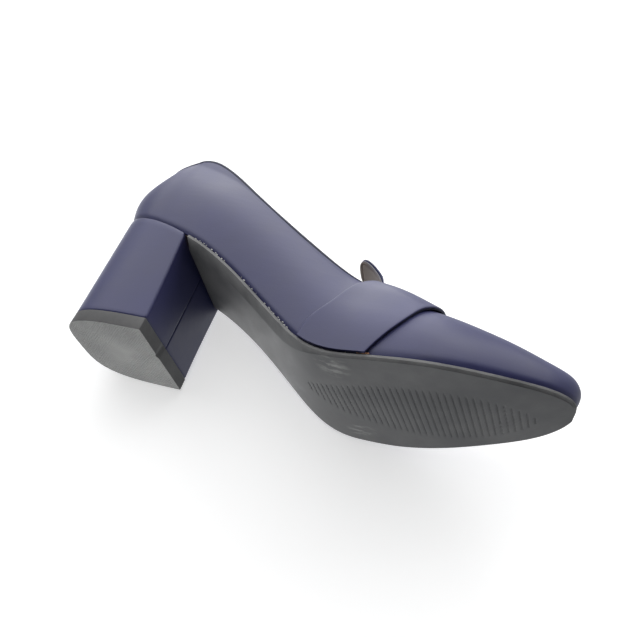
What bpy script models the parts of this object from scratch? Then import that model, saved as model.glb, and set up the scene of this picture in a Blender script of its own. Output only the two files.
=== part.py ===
"""Left shoe of a block-heel loafer pump, modelled as its separate shoemaking parts.

Lengths in the tables below are in millimetres and are turned into metres by place().
Stations run along the shoe from 0 at the back of the heel to the toe tip, x is 0 on the
heel's centre line with the lateral (outer) side positive, and z is 0 on the ground.
In the scene the toe points along -Y and the lateral side along +X.
"""
import math

import bmesh
import bpy
import numpy as np
from mathutils import Matrix, Vector

# ---- driving dimensions (mm) ----
LENGTH = 228.0            # station at which the feather line's toe ends, one millimetre on
BACK_MOST = -3.1          # station of the counter's fullest point
TOE_MOST = 228.9          # station of the toe's fullest point
MID_X = 3.25              # middle of the shoe's width, measured from the heel's centre line
GAP = 0.3                 # clearance kept between touching parts

BACK_CENTRE = 30.0        # station where the rounded back of the heel seat begins
BACK_START = -0.2         # station of the feather line at the very back
BACK_POWER = 2.5          # squareness of the heel seat in plan
TOE_CENTRE = 200.0        # station where the rounding of the toe begins

# feather line: (station, half width) at the features that shape each side
TOE_TIP_X = -2.5
MEDIAL_LINE = [
    (20, 26.5),            # rounding of the seat
    (55, 28),              # widest part of the seat
    (103, 26.5),           # waist
    (140, 32),             # back of the ball
    (167, 35),             # ball
    (TOE_CENTRE, 27.5),    # start of the toe
    (217, 18.5),           # toe corner
    (LENGTH - 1, -TOE_TIP_X),
]
LATERAL_LINE = [
    (20, 27),              # rounding of the seat
    (55, 30.5),            # widest part of the seat
    (95, 32),              # waist
    (120, 37),             # back of the ball
    (148, 40),             # ball
    (172, 35.5),           # little toe
    (TOE_CENTRE, 24.5),    # start of the toe
    (217, 16),             # toe corner
    (LENGTH - 1, TOE_TIP_X),
]
TOE_WALL = 8.0            # upright height of the upper at the very tip
TOE_SWELL = 1.9           # how far it bulges past the feather line there

# underside of the last: a sloping seat, a steep waist and a flat tread, then the toe spring
TREAD_HEIGHT = 2.5
TREAD_END = 150           # station where the toe spring begins
TOE_SPRING = 10.0         # rise of the toe over the tread, along a parabola
SEAT_STATIONS = [-4, 22, 50, 80, 105, 120, 132, 143]
SEAT_HEIGHT = [69.5, 63.5, 53.5, 35.5, 16.5, 6.5, 3, TREAD_HEIGHT]

# crown of the last over the toe and instep, and the open foot hole behind it
CROWN_STATIONS = [0, 40, 80, 105, 120, 131, 140, 150, 164, 174, 185, 200]
CROWN_HEIGHT = [190, 168, 130, 98, 74, 60, 54.5, 50, 44, 41, 37.5, 33]
TOPLINE_STATIONS = [-4, 10, 22, 32, 45, 68, 89, 108, 124, 138]
TOPLINE_HEIGHT = [102, 103, 107, 111, 107, 90.5, 75.5, 62.5, 53, 48]
LATERAL_TOPLINE_DROP = 2.0
SECTION_STATIONS = [0, 60, 110, 140, 170, 200, LENGTH]
SECTION_POWER = [2.6, 2.5, 2.2, 2.05, 2.1, 2.25, 2.3]
SIDE_BULGE = [0.05, 0.10, 0.09, 0.03, 0.02, 0.02, 0.0]
BACK_HEIGHTS = [0, 8, 18, 32, 50, 70]
BACK_SHIFT = [0, -2.5, -2, 7, 18.5, 28]

# layers of the upper, as depths below its outer surface
LEATHER = (0.0, 1.2)
STIFFENER = (1.5, 2.1)
LINING = (2.4, 3.2)
LINING_DROP = 0.6         # the lining stops this far below the leather's edge
SEAM_STATION = 138.0      # vamp meets quarters under the strap

# layers of the bottom, as heights above the feather line
SHANK_BOARD = (0.2, 1.4)
FILLER = (0.2, 2.9)
SHANK = (1.7, 3.1)
INSOLE = (3.4, 4.6)
CUSHION = (4.9, 6.7)
SOCK = (7.0, 7.6)
BOARD_INSET = 4.2         # boards stay this far inside the feather line
SOCK_INSET = 5.0          # and the sock and its cushion this far

# outsole
OUTSOLE_THICK = 2.3
OUTSOLE_WAIST_THICK = 4.2
OUTSOLE_EDGE = 1.7        # upright part of the waist's edge, above the bevel
WAIST_BEVEL = 7.0
TREAD_BEVEL = 0.9
OUTSOLE_LIP = 0.5         # how far the outsole's edge stands out from the upper
OUTSOLE_START = 46.2

# heel
BREAST = 46.5             # station of the heel's flat front face at the ground
BREAST_LEAN = -2.2        # and how far it leans back towards the seat
HEEL_BACK = 2.5           # station of the heel's back at the ground
HEEL_YAW = math.radians(2)   # the heel is turned a little, its lateral side forward
LIFT_HALF_WIDTH = 26
LIFT_POWER = 3.5
LIFT_THICK = 6.5
COVER_THICK = 1.0

# strap and tongue
STRAP_TURNS = [0, 0.2, 0.42, 0.7, 0.9, 1.0]
STRAP_REAR = [116.5, 119.5, 126, 133, 140.5, 144]
STRAP_FRONT = [146, 152, 158, 164, 169.5, 171.5]
STRAP_THICK = 1.5
STRAP_STANDOFF = 1.4      # room under the strap for the tongue, at its rear edge
STRAP_DIP = 0.9           # how much less there is at its front edge
TONGUE_HALF_WIDTH = 11.5
TONGUE_THICK = 1.8
TONGUE_ROOT = (142.9, 161)
TONGUE_ROOT_THICK = 1.0   # the leather is skived thin under the strap
TONGUE_ROOT_FLATNESS = 0.1
TONGUE_HINGE_GAP = 1.7    # between the tongue's root and its flap
TONGUE_CLEARANCE = 0.9   # between the flap's root end and the vamp
TONGUE_FLAP = 20
TONGUE_RISE = math.radians(56)   # the flap's slope at its root
TONGUE_LEAN = math.radians(22)   # and at its tip, where it bends back over the opening
TONGUE_SKEW = -3.5        # how far its tip leans to the medial side
TONGUE_FLATNESS = 0.25    # how much of the crown's side drop the tongue bridges

# fasteners
NAIL_PLACES = [(-14, 15), (15, 15), (-16, 34), (17, 34)]
NAIL_RADIUS = 1.2
NAIL_HEAD_RADIUS = 2.2
NAIL_LENGTH = 18.0
SCREW_PLACE = (0.5, 24.0)
SCREW_RADIUS = 2.0
SCREW_HEAD_RADIUS = 3.6
SCREW_LENGTH = 26.0
RIVET_STATIONS = [58.0, 100.0]
RIVET_RADIUS = 1.6
RIVET_HEAD_RADIUS = 2.8
PIN_PLACES = [(-11, 24), (12, 24)]
PIN_RADIUS = 1.5
PIN_HEIGHT = 12.0
PIN_BOTTOM = 3.0
BORE_CLEARANCE = 0.35     # a bore's radius over its fastener's
HEAD_CLEARANCE = 0.6      # the same round a fastener's head

# steel shank
SHANK_RUN = (13.0, 116.0)
SHANK_HALF_WIDTH = 5.5
SHANK_RIB_HALF_WIDTH = 1.8
SHANK_RIB_HEIGHT = 0.9

# shares of the heel's height at which its outline is taken
HEEL_LEVELS = [0.0, 0.15, 0.35, 0.55, 0.75, 0.9, 1.0]
HEEL_OUTLINE_STEPS = 26
HEEL_SEAM = 0.5           # gap of the cover's seam up the middle of the breast
STRAP_FACE = 0.9          # thickness of the strap's leather face
STRAP_BOW = 1.2           # how far the strap's middle stands above its edges

MM = 0.001


# ---- curves ----
def spline(stations, values, at):
    """Natural cubic spline through (stations, values), read at one number or an array."""
    x = np.asarray(stations, float)
    y = np.asarray(values, float)
    h = np.diff(x)
    count = len(x)
    matrix = np.eye(count)
    right = np.zeros(count)
    for i in range(1, count - 1):
        matrix[i, i - 1:i + 2] = (h[i - 1], 2 * (h[i - 1] + h[i]), h[i])
        right[i] = 6 * ((y[i + 1] - y[i]) / h[i] - (y[i] - y[i - 1]) / h[i - 1])
    bend = np.linalg.solve(matrix, right)
    at = np.asarray(at, float)
    k = np.clip(np.searchsorted(x, at) - 1, 0, count - 2)
    a = x[k + 1] - at
    b = at - x[k]
    step = h[k]
    return ((bend[k] * a ** 3 + bend[k + 1] * b ** 3) / (6 * step)
            + (y[k] / step - bend[k] * step / 6) * a
            + (y[k + 1] / step - bend[k + 1] * step / 6) * b)


def smoothstep(low, high, value):
    t = min(max((value - low) / (high - low), 0.0), 1.0)
    return t * t * (3 - 2 * t)


def toe_turn(station):
    """Stretches stations round the toe, so that its tip is met at a right angle."""
    radius = LENGTH - 1 - TOE_CENTRE
    if station < TOE_CENTRE:
        return (station - TOE_CENTRE) / radius
    return math.asin(min((station - TOE_CENTRE) / radius, 1.0))


MEDIAL_TURNS = [toe_turn(station) for station, _ in MEDIAL_LINE]
MEDIAL_WIDTH = [width for _, width in MEDIAL_LINE]
LATERAL_TURNS = [toe_turn(station) for station, _ in LATERAL_LINE]
LATERAL_WIDTH = [width for _, width in LATERAL_LINE]
SPRING_STATIONS = list(np.linspace(TREAD_END, LENGTH, 4))
SPRING_HEIGHT = [TREAD_HEIGHT + TOE_SPRING * ((station - TREAD_END) / (LENGTH - TREAD_END)) ** 2
                 for station in SPRING_STATIONS]
BED_STATIONS = SEAT_STATIONS + SPRING_STATIONS
BED_HEIGHT = SEAT_HEIGHT + SPRING_HEIGHT
QUARTER_TURN = math.pi / 2


def bed(station):
    return float(spline(BED_STATIONS, BED_HEIGHT, station))


def side_width(side, turn):
    """Signed x of the feather line, for a toe_turn value ahead of the heel's rounding."""
    if side < 0:
        return -float(spline(MEDIAL_TURNS, MEDIAL_WIDTH, turn))
    return float(spline(LATERAL_TURNS, LATERAL_WIDTH, turn))


def feather(side, way, depth=0.0):
    """Plan point (x, station) of the feather line moved in by depth.

    way runs -1..0 round the back of the heel, 0..1 along the side and 1..2 round the toe.
    """
    if way < 0:
        angle = QUARTER_TURN * (1 + way)
        reach = abs(side_width(side, toe_turn(BACK_CENTRE))) - depth
        run = BACK_CENTRE - BACK_START - depth
        x = side * reach * math.sin(angle) ** (2 / BACK_POWER)
        return x, BACK_CENTRE - run * abs(math.cos(angle)) ** (2 / BACK_POWER)
    if way <= 1:
        station = BACK_CENTRE + (TOE_CENTRE - BACK_CENTRE) * way
        return side_width(side, toe_turn(station)) - side * depth, station
    turn = QUARTER_TURN * (way - 1)
    radius = LENGTH - 1 - TOE_CENTRE - depth
    fade = math.cos(turn)
    x = side_width(side, turn) - side * depth * fade
    return x, TOE_CENTRE + radius * math.sin(turn)


def way_at(station):
    """The way value at which the feather line passes a station of the straight side or toe."""
    if station <= TOE_CENTRE:
        return (station - BACK_CENTRE) / (TOE_CENTRE - BACK_CENTRE)
    return 1 + toe_turn(station) / QUARTER_TURN


def crown(way, station):
    """Height of the last's crown; it drops to the feather line round the toe."""
    if way <= 1:
        return float(spline(CROWN_STATIONS, CROWN_HEIGHT, station))
    rise = CROWN_HEIGHT[-1] - bed(TOE_CENTRE) - TOE_WALL
    turn = QUARTER_TURN * (way - 1)
    slope = (CROWN_HEIGHT[-1] - CROWN_HEIGHT[-2]) / (CROWN_STATIONS[-1] - CROWN_STATIONS[-2])
    lean = (slope - 0.16) * (LENGTH - 1 - TOE_CENTRE) * math.sin(turn) * math.cos(turn) ** 2
    return bed(station) + TOE_WALL + rise * abs(math.cos(turn)) ** 0.92 + lean


def last_point(side, way, rise, depth=0.0):
    """Point (x, station, z) of the last's skin; rise is 0 on the feather line, 1 on the crown."""
    x_edge, station = feather(side, way, depth)
    base = bed(station)
    fade = math.cos(QUARTER_TURN * (way - 1)) if way > 1 else 1.0
    top = crown(way, station) - depth * fade
    power = float(spline(SECTION_STATIONS, SECTION_POWER, station))
    bulge = float(spline(SECTION_STATIONS, SIDE_BULGE, station))
    x_ridge = TOE_TIP_X * smoothstep(100, LENGTH, station)
    narrow = (1 - min(rise, 1.0) ** power) ** (1 / power)
    height = (top - base) * rise
    swell = 1 + bulge * math.sin(math.pi * min(height / 45.0, 1.0))
    x = x_ridge + (x_edge - x_ridge) * narrow * swell
    if way < 0:
        share = (BACK_CENTRE - station) / (BACK_CENTRE - BACK_START - depth)
        station += share * float(spline(BACK_HEIGHTS, BACK_SHIFT, min(height, 70.0)))
    if way > 1:
        station += TOE_SWELL * (1 - fade) * math.sin(math.pi * min(height / 14, 1.0))
    return x, station, base + height


def topline(side, station):
    drop = LATERAL_TOPLINE_DROP * smoothstep(15, 60, station) if side > 0 else 0.0
    return float(spline(TOPLINE_STATIONS, TOPLINE_HEIGHT, station)) - drop


def place(x, station, z):
    """Shoe measures in millimetres to scene coordinates in metres."""
    middle = (TOE_MOST + BACK_MOST) / 2
    return Vector(((x - MID_X) * MM, (middle - station) * MM, z * MM))


# ---- mesh helpers ----
def material(name, colour, roughness, metallic=0.0):
    mat = bpy.data.materials.new(name)
    mat.use_nodes = True
    shader = mat.node_tree.nodes["Principled BSDF"]
    shader.inputs["Base Color"].default_value = (*colour, 1.0)
    shader.inputs["Roughness"].default_value = roughness
    shader.inputs["Metallic"].default_value = metallic
    mat.diffuse_color = (*colour, 1.0)
    return mat


def add_object(name, bm, mat, sharp=40):
    bmesh.ops.remove_doubles(bm, verts=bm.verts, dist=0.00002)
    bmesh.ops.dissolve_degenerate(bm, edges=bm.edges, dist=0.00001)
    bmesh.ops.triangulate(bm, faces=[f for f in bm.faces if len(f.verts) > 4])
    bmesh.ops.recalc_face_normals(bm, faces=bm.faces)
    if bm.calc_volume(signed=True) < 0:
        bmesh.ops.reverse_faces(bm, faces=bm.faces)
    mesh = bpy.data.meshes.new(name)
    bm.to_mesh(mesh)
    bm.free()
    mesh.shade_smooth()
    mesh.set_sharp_from_angle(angle=math.radians(sharp))
    obj = bpy.data.objects.new(name, mesh)
    obj.data.materials.append(mat)
    bpy.context.collection.objects.link(obj)
    return obj


def grid_shell(name, outer, inner, mat, meets=False):
    """Closed shell between two matching grids of (x, station, z) points.

    With meets, the last row folds onto itself, as at the toe tip, and needs no end wall.
    """
    bm = bmesh.new()
    rows, columns = len(outer), len(outer[0])
    layers = []
    for grid in (outer, inner):
        layers.append([[bm.verts.new(place(*point)) for point in row] for row in grid])
    over, under = layers
    for i in range(rows - 1):
        for j in range(columns - 1):
            for layer in layers:
                bm.faces.new((layer[i][j], layer[i][j + 1], layer[i + 1][j + 1], layer[i + 1][j]))
    for i in range(rows - 1):
        for j in (0, columns - 1):
            bm.faces.new((over[i][j], over[i + 1][j], under[i + 1][j], under[i][j]))
    for j in range(columns - 1):
        for i in (0,) if meets else (0, rows - 1):
            bm.faces.new((over[i][j], over[i][j + 1], under[i][j + 1], under[i][j]))
    return add_object(name, bm, mat)


def loft(name, rings, mat, sharp=40):
    """Solid through closed rings of (x, station, z) points, with both ends capped."""
    bm = bmesh.new()
    loops = [[bm.verts.new(place(*point)) for point in ring] for ring in rings]
    count = len(loops[0])
    for low, high in zip(loops, loops[1:]):
        for i in range(count):
            j = (i + 1) % count
            bm.faces.new((low[i], low[j], high[j], high[i]))
    bm.faces.new(loops[0])
    bm.faces.new(loops[-1])
    return add_object(name, bm, mat, sharp)


def turned(name, profile, base, axis, mat, sides=12):
    """Round piece: (radius, distance along axis) pairs turned about axis from base."""
    bm = bmesh.new()
    frame = Vector(axis).normalized().to_track_quat("Z", "Y").to_matrix().to_4x4()
    frame = Matrix.Translation(place(*base)) @ frame
    loops = []
    for radius, along in profile:
        ring = []
        for k in range(sides):
            angle = 2 * math.pi * k / sides
            local = Vector((radius * math.cos(angle), radius * math.sin(angle), along)) * MM
            ring.append(bm.verts.new(frame @ local))
        loops.append(ring)
    for low, high in zip(loops, loops[1:]):
        for i in range(sides):
            j = (i + 1) % sides
            bm.faces.new((low[i], low[j], high[j], high[i]))
    bm.faces.new(loops[0])
    bm.faces.new(loops[-1])
    return add_object(name, bm, mat)


def cut(target, cutter):
    """Boolean cut; the cutter stays as a hidden guide."""
    cutter.hide_render = True
    cutter.display_type = "WIRE"
    modifier = target.modifiers.new("bore", "BOOLEAN")
    modifier.operation = "DIFFERENCE"
    modifier.solver = "EXACT"
    modifier.object = cutter


# ---- upper ----
def crossing_grid(ways, rises, depth):
    """Grid that crosses the shoe from the medial feather line over the crown to the lateral."""
    grid = []
    for way in ways:
        row = [last_point(-1, way, rise, depth) for rise in rises]
        row += [last_point(1, way, rise, depth) for rise in reversed(rises[:-1])]
        grid.append(row)
    return grid


def wall_point(side, way, height_share, depth, drop):
    """Point of a quarter, at a share of the height from the feather line to the topline."""
    station = feather(side, way)[1]
    edge = topline(side, station) - drop
    base = bed(feather(side, way, depth)[1])
    top = crown(way, feather(side, way, depth)[1]) - depth
    rise = (edge - base) * height_share / (top - base)
    return last_point(side, way, rise, depth)


def quarter_grid(side, ways, shares, depth, drop=0.0):
    return [[wall_point(side, way, share, depth, drop) for share in shares] for way in ways]


def rise_steps(count):
    power = 2 / 2.1
    return [math.sin(QUARTER_TURN * i / count) ** power for i in range(count)] + [1.0]


def build_vamp(leather, lining, board):
    rises = rise_steps(9)
    ways = list(np.linspace(way_at(SEAM_STATION + 0.4), 1.0, 9))
    ways += [1 + turn for turn in (0.14, 0.28, 0.42, 0.56, 0.7, 0.82, 0.92, 1.0)]
    grids = {depth: crossing_grid(ways, rises, depth) for depth in LEATHER + LINING}
    grid_shell("vamp", grids[LEATHER[0]], grids[LEATHER[1]], leather, meets=True)
    grid_shell("vamp_lining", grids[LINING[0]], grids[LINING[1]], lining, meets=True)
    toe = [way for way in ways if way > way_at(186)]
    grid_shell("toe_puff", crossing_grid(toe, rises, STIFFENER[0]),
               crossing_grid(toe, rises, STIFFENER[1]), board, meets=True)


def build_quarters(leather, lining, board):
    seam = -1 + 0.012
    ways = [seam, -0.9, -0.78, -0.62, -0.45, -0.25, 0.0]
    ways += list(np.linspace(0, way_at(SEAM_STATION), 12))[1:]
    shares = [0.0, 0.12, 0.26, 0.42, 0.58, 0.74, 0.88, 1.0]
    for side, word in ((-1, "medial"), (1, "lateral")):
        grid_shell("quarter_" + word, quarter_grid(side, ways, shares, LEATHER[0]),
                   quarter_grid(side, ways, shares, LEATHER[1]), leather)
        grid_shell("quarter_lining_" + word,
                   quarter_grid(side, ways, shares, LINING[0], LINING_DROP),
                   quarter_grid(side, ways, shares, LINING[1], LINING_DROP), lining)
    build_counter(board)


def build_counter(board):
    """Moulded heel stiffener, one piece round the back between leather and lining."""
    ways = [-1, -0.9, -0.78, -0.62, -0.45, -0.25, 0.0, 0.09, 0.18]
    shares = [0.04, 0.22, 0.4, 0.56, 0.72]
    grids = []
    for depth in STIFFENER:
        medial = quarter_grid(-1, ways, shares, depth)
        lateral = quarter_grid(1, ways, shares, depth)
        grids.append(medial[::-1] + lateral[1:])
    grid_shell("heel_counter", grids[0], grids[1], board)


def strap_point(side, turn, across, depth):
    """Point of the strap; turn is 0 at the feather line and 1 on the crown."""
    rear = float(spline(STRAP_TURNS, STRAP_REAR, turn))
    front = float(spline(STRAP_TURNS, STRAP_FRONT, turn))
    station = rear + (front - rear) * across
    standoff = (STRAP_STANDOFF - STRAP_DIP * across ** 3) * smoothstep(0.45, 0.9, turn)
    bow = STRAP_BOW * math.sin(math.pi * across) * smoothstep(0.5, 1.0, turn)
    rise = turn
    if station < SEAM_STATION:
        base = bed(station)
        rise *= (crown(0.5, SEAM_STATION) - base) / (crown(0.5, station) - base)
        rise = min(rise, 1.0)
    return last_point(side, way_at(station), rise, depth - standoff - bow)


def build_strap(leather, lining):
    """Saddle strap over the vamp, a leather face with a thin backing under it."""
    turns = [0.0, 0.12, 0.26, 0.4, 0.54, 0.68, 0.8, 0.9, 0.97, 1.0]
    across = [0.0, 0.25, 0.5, 0.75, 1.0]
    outside = -GAP - STRAP_THICK
    layers = (("strap", outside, outside + STRAP_FACE, leather),
              ("strap_backing", outside + STRAP_FACE + GAP, -GAP, lining))
    for name, over, under, mat in layers:
        grids = []
        for depth in (over, under):
            medial = [[strap_point(-1, turn, a, depth) for a in across] for turn in turns]
            lateral = [[strap_point(1, turn, a, depth) for a in across] for turn in turns]
            grids.append(medial + lateral[-2::-1])
        grid_shell(name, grids[0], grids[1], mat)


def flap_profile(share):
    """Slope, run and rise of the flap's middle line, an arc, at a share of its length."""
    angle = TONGUE_RISE + (TONGUE_LEAN - TONGUE_RISE) * share
    radius = TONGUE_FLAP / (TONGUE_LEAN - TONGUE_RISE)
    run = radius * (math.sin(angle) - math.sin(TONGUE_RISE))
    rise = radius * (math.cos(TONGUE_RISE) - math.cos(angle))
    return angle, run, rise


def build_tongue(leather, lining):
    """Tongue tab: a root held under the strap and a flap that rises behind it."""
    start, end = TONGUE_ROOT
    grids = []
    for lift in (GAP + TONGUE_ROOT_THICK, GAP):
        grid = []
        for station in np.linspace(start, end, 5):
            row = []
            for x in np.linspace(-TONGUE_HALF_WIDTH, TONGUE_HALF_WIDTH, 7):
                drop = crown_at(0, station) - crown_at(x, station)
                row.append((x, station, crown_at(x, station) + lift + TONGUE_ROOT_FLATNESS * drop))
            grid.append(row)
        grids.append(grid)
    grid_shell("tongue_root", grids[0], grids[1], leather)
    pivot = (start - TONGUE_HINGE_GAP, crown_at(0, start) + TONGUE_CLEARANCE)
    half = TONGUE_THICK / 2
    for name, low, high, mat in (("tongue_flap", half, TONGUE_THICK, leather),
                                 ("tongue_flap_lining", 0.0, half - GAP, lining)):
        grids = []
        for lift in (high, low):
            grid = []
            for share in (0.0, 0.3, 0.55, 0.75, 0.88, 0.96, 1.0):
                angle, run, rise = flap_profile(share)
                corner = max(share - 0.45, 0) / 0.55
                half_width = TONGUE_HALF_WIDTH * (1 - 0.62 * corner ** 4)
                row = []
                for x in np.linspace(-1, 1, 7):
                    side_drop = crown_at(0, start) - crown_at(x * TONGUE_HALF_WIDTH, start)
                    along = run - lift * math.sin(angle) * min(share * 4, 1)
                    sag = side_drop * (1 - TONGUE_FLATNESS) * (1 - share) ** 3
                    row.append((x * half_width + TONGUE_SKEW * share,
                                pivot[0] - along, pivot[1] + rise + lift - sag))
                grid.append(row)
            grids.append(grid)
        grid_shell(name, grids[0], grids[1], mat)


def crown_at(x, station):
    """Height of the upper's outer surface above a plan point near the crown."""
    side = -1 if x < 0 else 1
    way = way_at(station)
    low, high = 0.3, 1.0
    for _ in range(30):
        middle = (low + high) / 2
        if abs(last_point(side, way, middle)[0]) > abs(x):
            low = middle
        else:
            high = middle
    return last_point(side, way, high)[2]


# ---- bottom ----
def board_ring(side_ways, inset, low, high):
    """Strip of cross sections for a board that follows the bed."""
    rings = []
    for way in side_ways:
        x_medial, station = feather(-1, way, inset)
        x_lateral = feather(1, way, inset)[0]
        base = bed(station)
        rings.append([(x_medial, station, base + low), (x_lateral, station, base + low),
                      (x_lateral, station, base + high), (x_medial, station, base + high)])
    return rings


def build_boards(board, foam, sock, cork):
    back = [-0.93, -0.8, -0.6, -0.4, -0.2]
    side = list(np.linspace(0, 1, 18))
    toe = [1.15, 1.3, 1.45, 1.6, 1.75, 1.88]
    whole = back + side + toe
    rear = back + [way for way in side if way < way_at(118)]
    fore = [way for way in side if way > way_at(124)] + toe
    boards = {}
    boards["shank_board"] = loft("shank_board", board_ring(rear, BOARD_INSET, *SHANK_BOARD), board)
    loft("bottom_filler", board_ring(fore, BOARD_INSET, *FILLER), cork)
    boards["insole_board"] = loft("insole_board", board_ring(whole, BOARD_INSET, *INSOLE), board)
    short = back[1:] + side + toe[:-1]
    loft("sock_cushion", board_ring(short, SOCK_INSET, *CUSHION), foam)
    loft("sock_lining", board_ring(short, SOCK_INSET, *SOCK), sock)
    return boards


def build_shank(steel):
    """Spring steel shank with a raised rib, from under the heel to behind the ball."""
    wide = SHANK_HALF_WIDTH
    foot = SHANK_RIB_HALF_WIDTH
    ridge = foot * 0.6
    rings = []
    for station in np.linspace(*SHANK_RUN, 18):
        low = bed(station) + SHANK[0]
        top = bed(station) + SHANK[1]
        flat = top - SHANK_RIB_HEIGHT
        section = [(-wide, low), (wide, low), (wide, flat), (foot, flat),
                   (ridge, top), (-ridge, top), (-foot, flat), (-wide, flat)]
        rings.append([(x, station, z) for x, z in section])
    return loft("steel_shank", rings, steel)


def build_outsole(rubber):
    start = way_at(OUTSOLE_START)
    ways = list(np.linspace(start, 1.0, 30))
    ways += [1 + turn for turn in (0.12, 0.24, 0.36, 0.48, 0.6, 0.7, 0.8, 0.88, 0.95)]
    rings = []
    for way in ways:
        x_medial, station = feather(-1, way, -OUTSOLE_LIP)
        x_lateral = feather(1, way, -OUTSOLE_LIP)[0]
        station = min(station, LENGTH - 1.2)
        waist = 1 - smoothstep(104, 132, station)
        thick = OUTSOLE_THICK + (OUTSOLE_WAIST_THICK - OUTSOLE_THICK) * waist
        edge = 1.4 + (OUTSOLE_EDGE - 1.4) * waist
        width = x_lateral - x_medial
        bevel = min(TREAD_BEVEL + (WAIST_BEVEL - TREAD_BEVEL) * waist, width * 0.25)
        top = bed(station) - GAP
        edge_low = top - edge
        low = max(top - thick, 0.0)
        rings.append([(x_medial, station, top), (x_lateral, station, top),
                      (x_lateral, station, edge_low), (x_lateral - bevel, station, low),
                      (x_medial + bevel, station, low), (x_medial, station, edge_low)])
    return loft("outsole", rings, rubber, sharp=25)


# ---- heel ----
def heel_outline(share, inset):
    """Plan ring of the heel at a share of its height: breast corners first, then the back."""
    seat_turn = toe_turn(BREAST + BREAST_LEAN)
    widening = share ** 1.5
    half = LIFT_HALF_WIDTH + (0.6 - side_width(-1, seat_turn) - LIFT_HALF_WIDTH) * widening
    half_lateral = LIFT_HALF_WIDTH + (side_width(1, seat_turn) - LIFT_HALF_WIDTH) * widening
    power = LIFT_POWER + (BACK_POWER + 0.2 - LIFT_POWER) * share
    back = HEEL_BACK + (BACK_START - HEEL_BACK) * share
    breast = BREAST + BREAST_LEAN * share
    depth = breast - back
    ring = []
    for k in range(HEEL_OUTLINE_STEPS + 1):
        angle = math.pi * k / HEEL_OUTLINE_STEPS
        reach = half if math.cos(angle) > 0 else half_lateral
        x = -math.copysign(abs(math.cos(angle)) ** (2 / power), math.cos(angle)) * (reach - inset)
        run = (depth - 2 * inset) * abs(math.sin(angle)) ** (2 / power)
        station = breast - inset - run
        turn_arm = station - (breast - depth / 2)
        ring.append((x * math.cos(HEEL_YAW) + turn_arm * math.sin(HEEL_YAW),
                     station + x * math.sin(HEEL_YAW) - turn_arm * (1 - math.cos(HEEL_YAW))))
    return ring


def heel_height(station):
    return bed(max(station, -3.0)) - GAP


def heel_ring(share, inset, floor):
    ring = []
    for x, station in heel_outline(share, inset):
        ring.append((x, station, floor + (heel_height(station) - floor) * share))
    return ring


def build_heel(plastic, leather, rubber):
    floor = LIFT_THICK + GAP
    rings = [heel_ring(share, COVER_THICK + GAP, floor) for share in HEEL_LEVELS]
    block = loft("heel_block", rings, plastic)
    grids = []
    for inset in (0.0, COVER_THICK):
        grid = []
        for share in HEEL_LEVELS:
            ring = heel_ring(share, inset, floor)
            first, last = ring[0], ring[-1]
            centre = (first[2] + last[2]) / 2
            middle = (first[1] + last[1]) / 2
            start = (-HEEL_SEAM / 2, middle, centre)
            end = (HEEL_SEAM / 2, middle, centre)
            grid.append([start] + ring + [end])
        grids.append(grid)
    grid_shell("heel_cover", grids[0], grids[1], leather)
    base = heel_outline(0.0, 0.0)
    foot = heel_outline(0.0, 0.5)
    rings = [[(x, s, 0.0) for x, s in foot], [(x, s, 0.6) for x, s in base],
             [(x, s, LIFT_THICK) for x, s in base]]
    piece = loft("top_piece", rings, rubber)
    return block, piece


# ---- fasteners ----
def headed_profile(radius, head_radius, length, head=0.8):
    return [(radius * 0.4, -length), (radius, -length + 2), (radius, 0.0),
            (head_radius, 0.0), (head_radius, head)]


def bed_normal(station):
    slope = bed(station + 0.5) - bed(station - 0.5)
    return Vector((0, slope, 1)).normalized()


def fasten(name, profile, x, station, lift, steel, bores):
    """Fastener square to the bed, its head's seat at lift; bores are (part, radius, low, high)."""
    base = (x, station, bed(station) + lift)
    axis = bed_normal(station)
    turned(name, profile, base, axis, steel)
    for number, (target, radius, low, high) in enumerate(bores):
        cutter = turned("%s_bore_%d" % (name, number), [(radius, low), (radius, high)],
                        base, axis, steel)
        cut(target, cutter)


def build_fasteners(boards, block, shank, steel):
    board, insole = boards["shank_board"], boards["insole_board"]
    for number, (x, station) in enumerate(NAIL_PLACES, 1):
        low = -NAIL_LENGTH - 1
        fasten("heel_nail_%d" % number,
               headed_profile(NAIL_RADIUS, NAIL_HEAD_RADIUS, NAIL_LENGTH), x, station, 1.8, steel,
               [(board, NAIL_RADIUS + BORE_CLEARANCE, -4, 2),
                (block, NAIL_RADIUS + BORE_CLEARANCE, low, 4),
                (insole, NAIL_HEAD_RADIUS + HEAD_CLEARANCE, -1, 8)])
    x, station = SCREW_PLACE
    wide = SCREW_RADIUS + BORE_CLEARANCE
    fasten("heel_screw", headed_profile(SCREW_RADIUS, SCREW_HEAD_RADIUS, SCREW_LENGTH, 1.0),
           x, station, SHANK[1] + GAP, steel,
           [(board, wide, -5, 3), (shank, wide, -5, 3), (block, wide, -SCREW_LENGTH - 1, 3),
            (insole, SCREW_HEAD_RADIUS + HEAD_CLEARANCE, -1, 8)])
    for number, station in enumerate(RIVET_STATIONS, 1):
        wide = RIVET_RADIUS + BORE_CLEARANCE
        profile = [(RIVET_RADIUS, -2.9), (RIVET_RADIUS, 0.0), (RIVET_HEAD_RADIUS, 0.0),
                   (RIVET_HEAD_RADIUS * 0.7, 0.9)]
        fasten("shank_rivet_%d" % number, profile, 0.0, station, SHANK[1] + GAP, steel,
               [(board, wide, -5, 3), (shank, wide, -5, 3),
                (insole, RIVET_HEAD_RADIUS + HEAD_CLEARANCE, -1, 8)])


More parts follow.
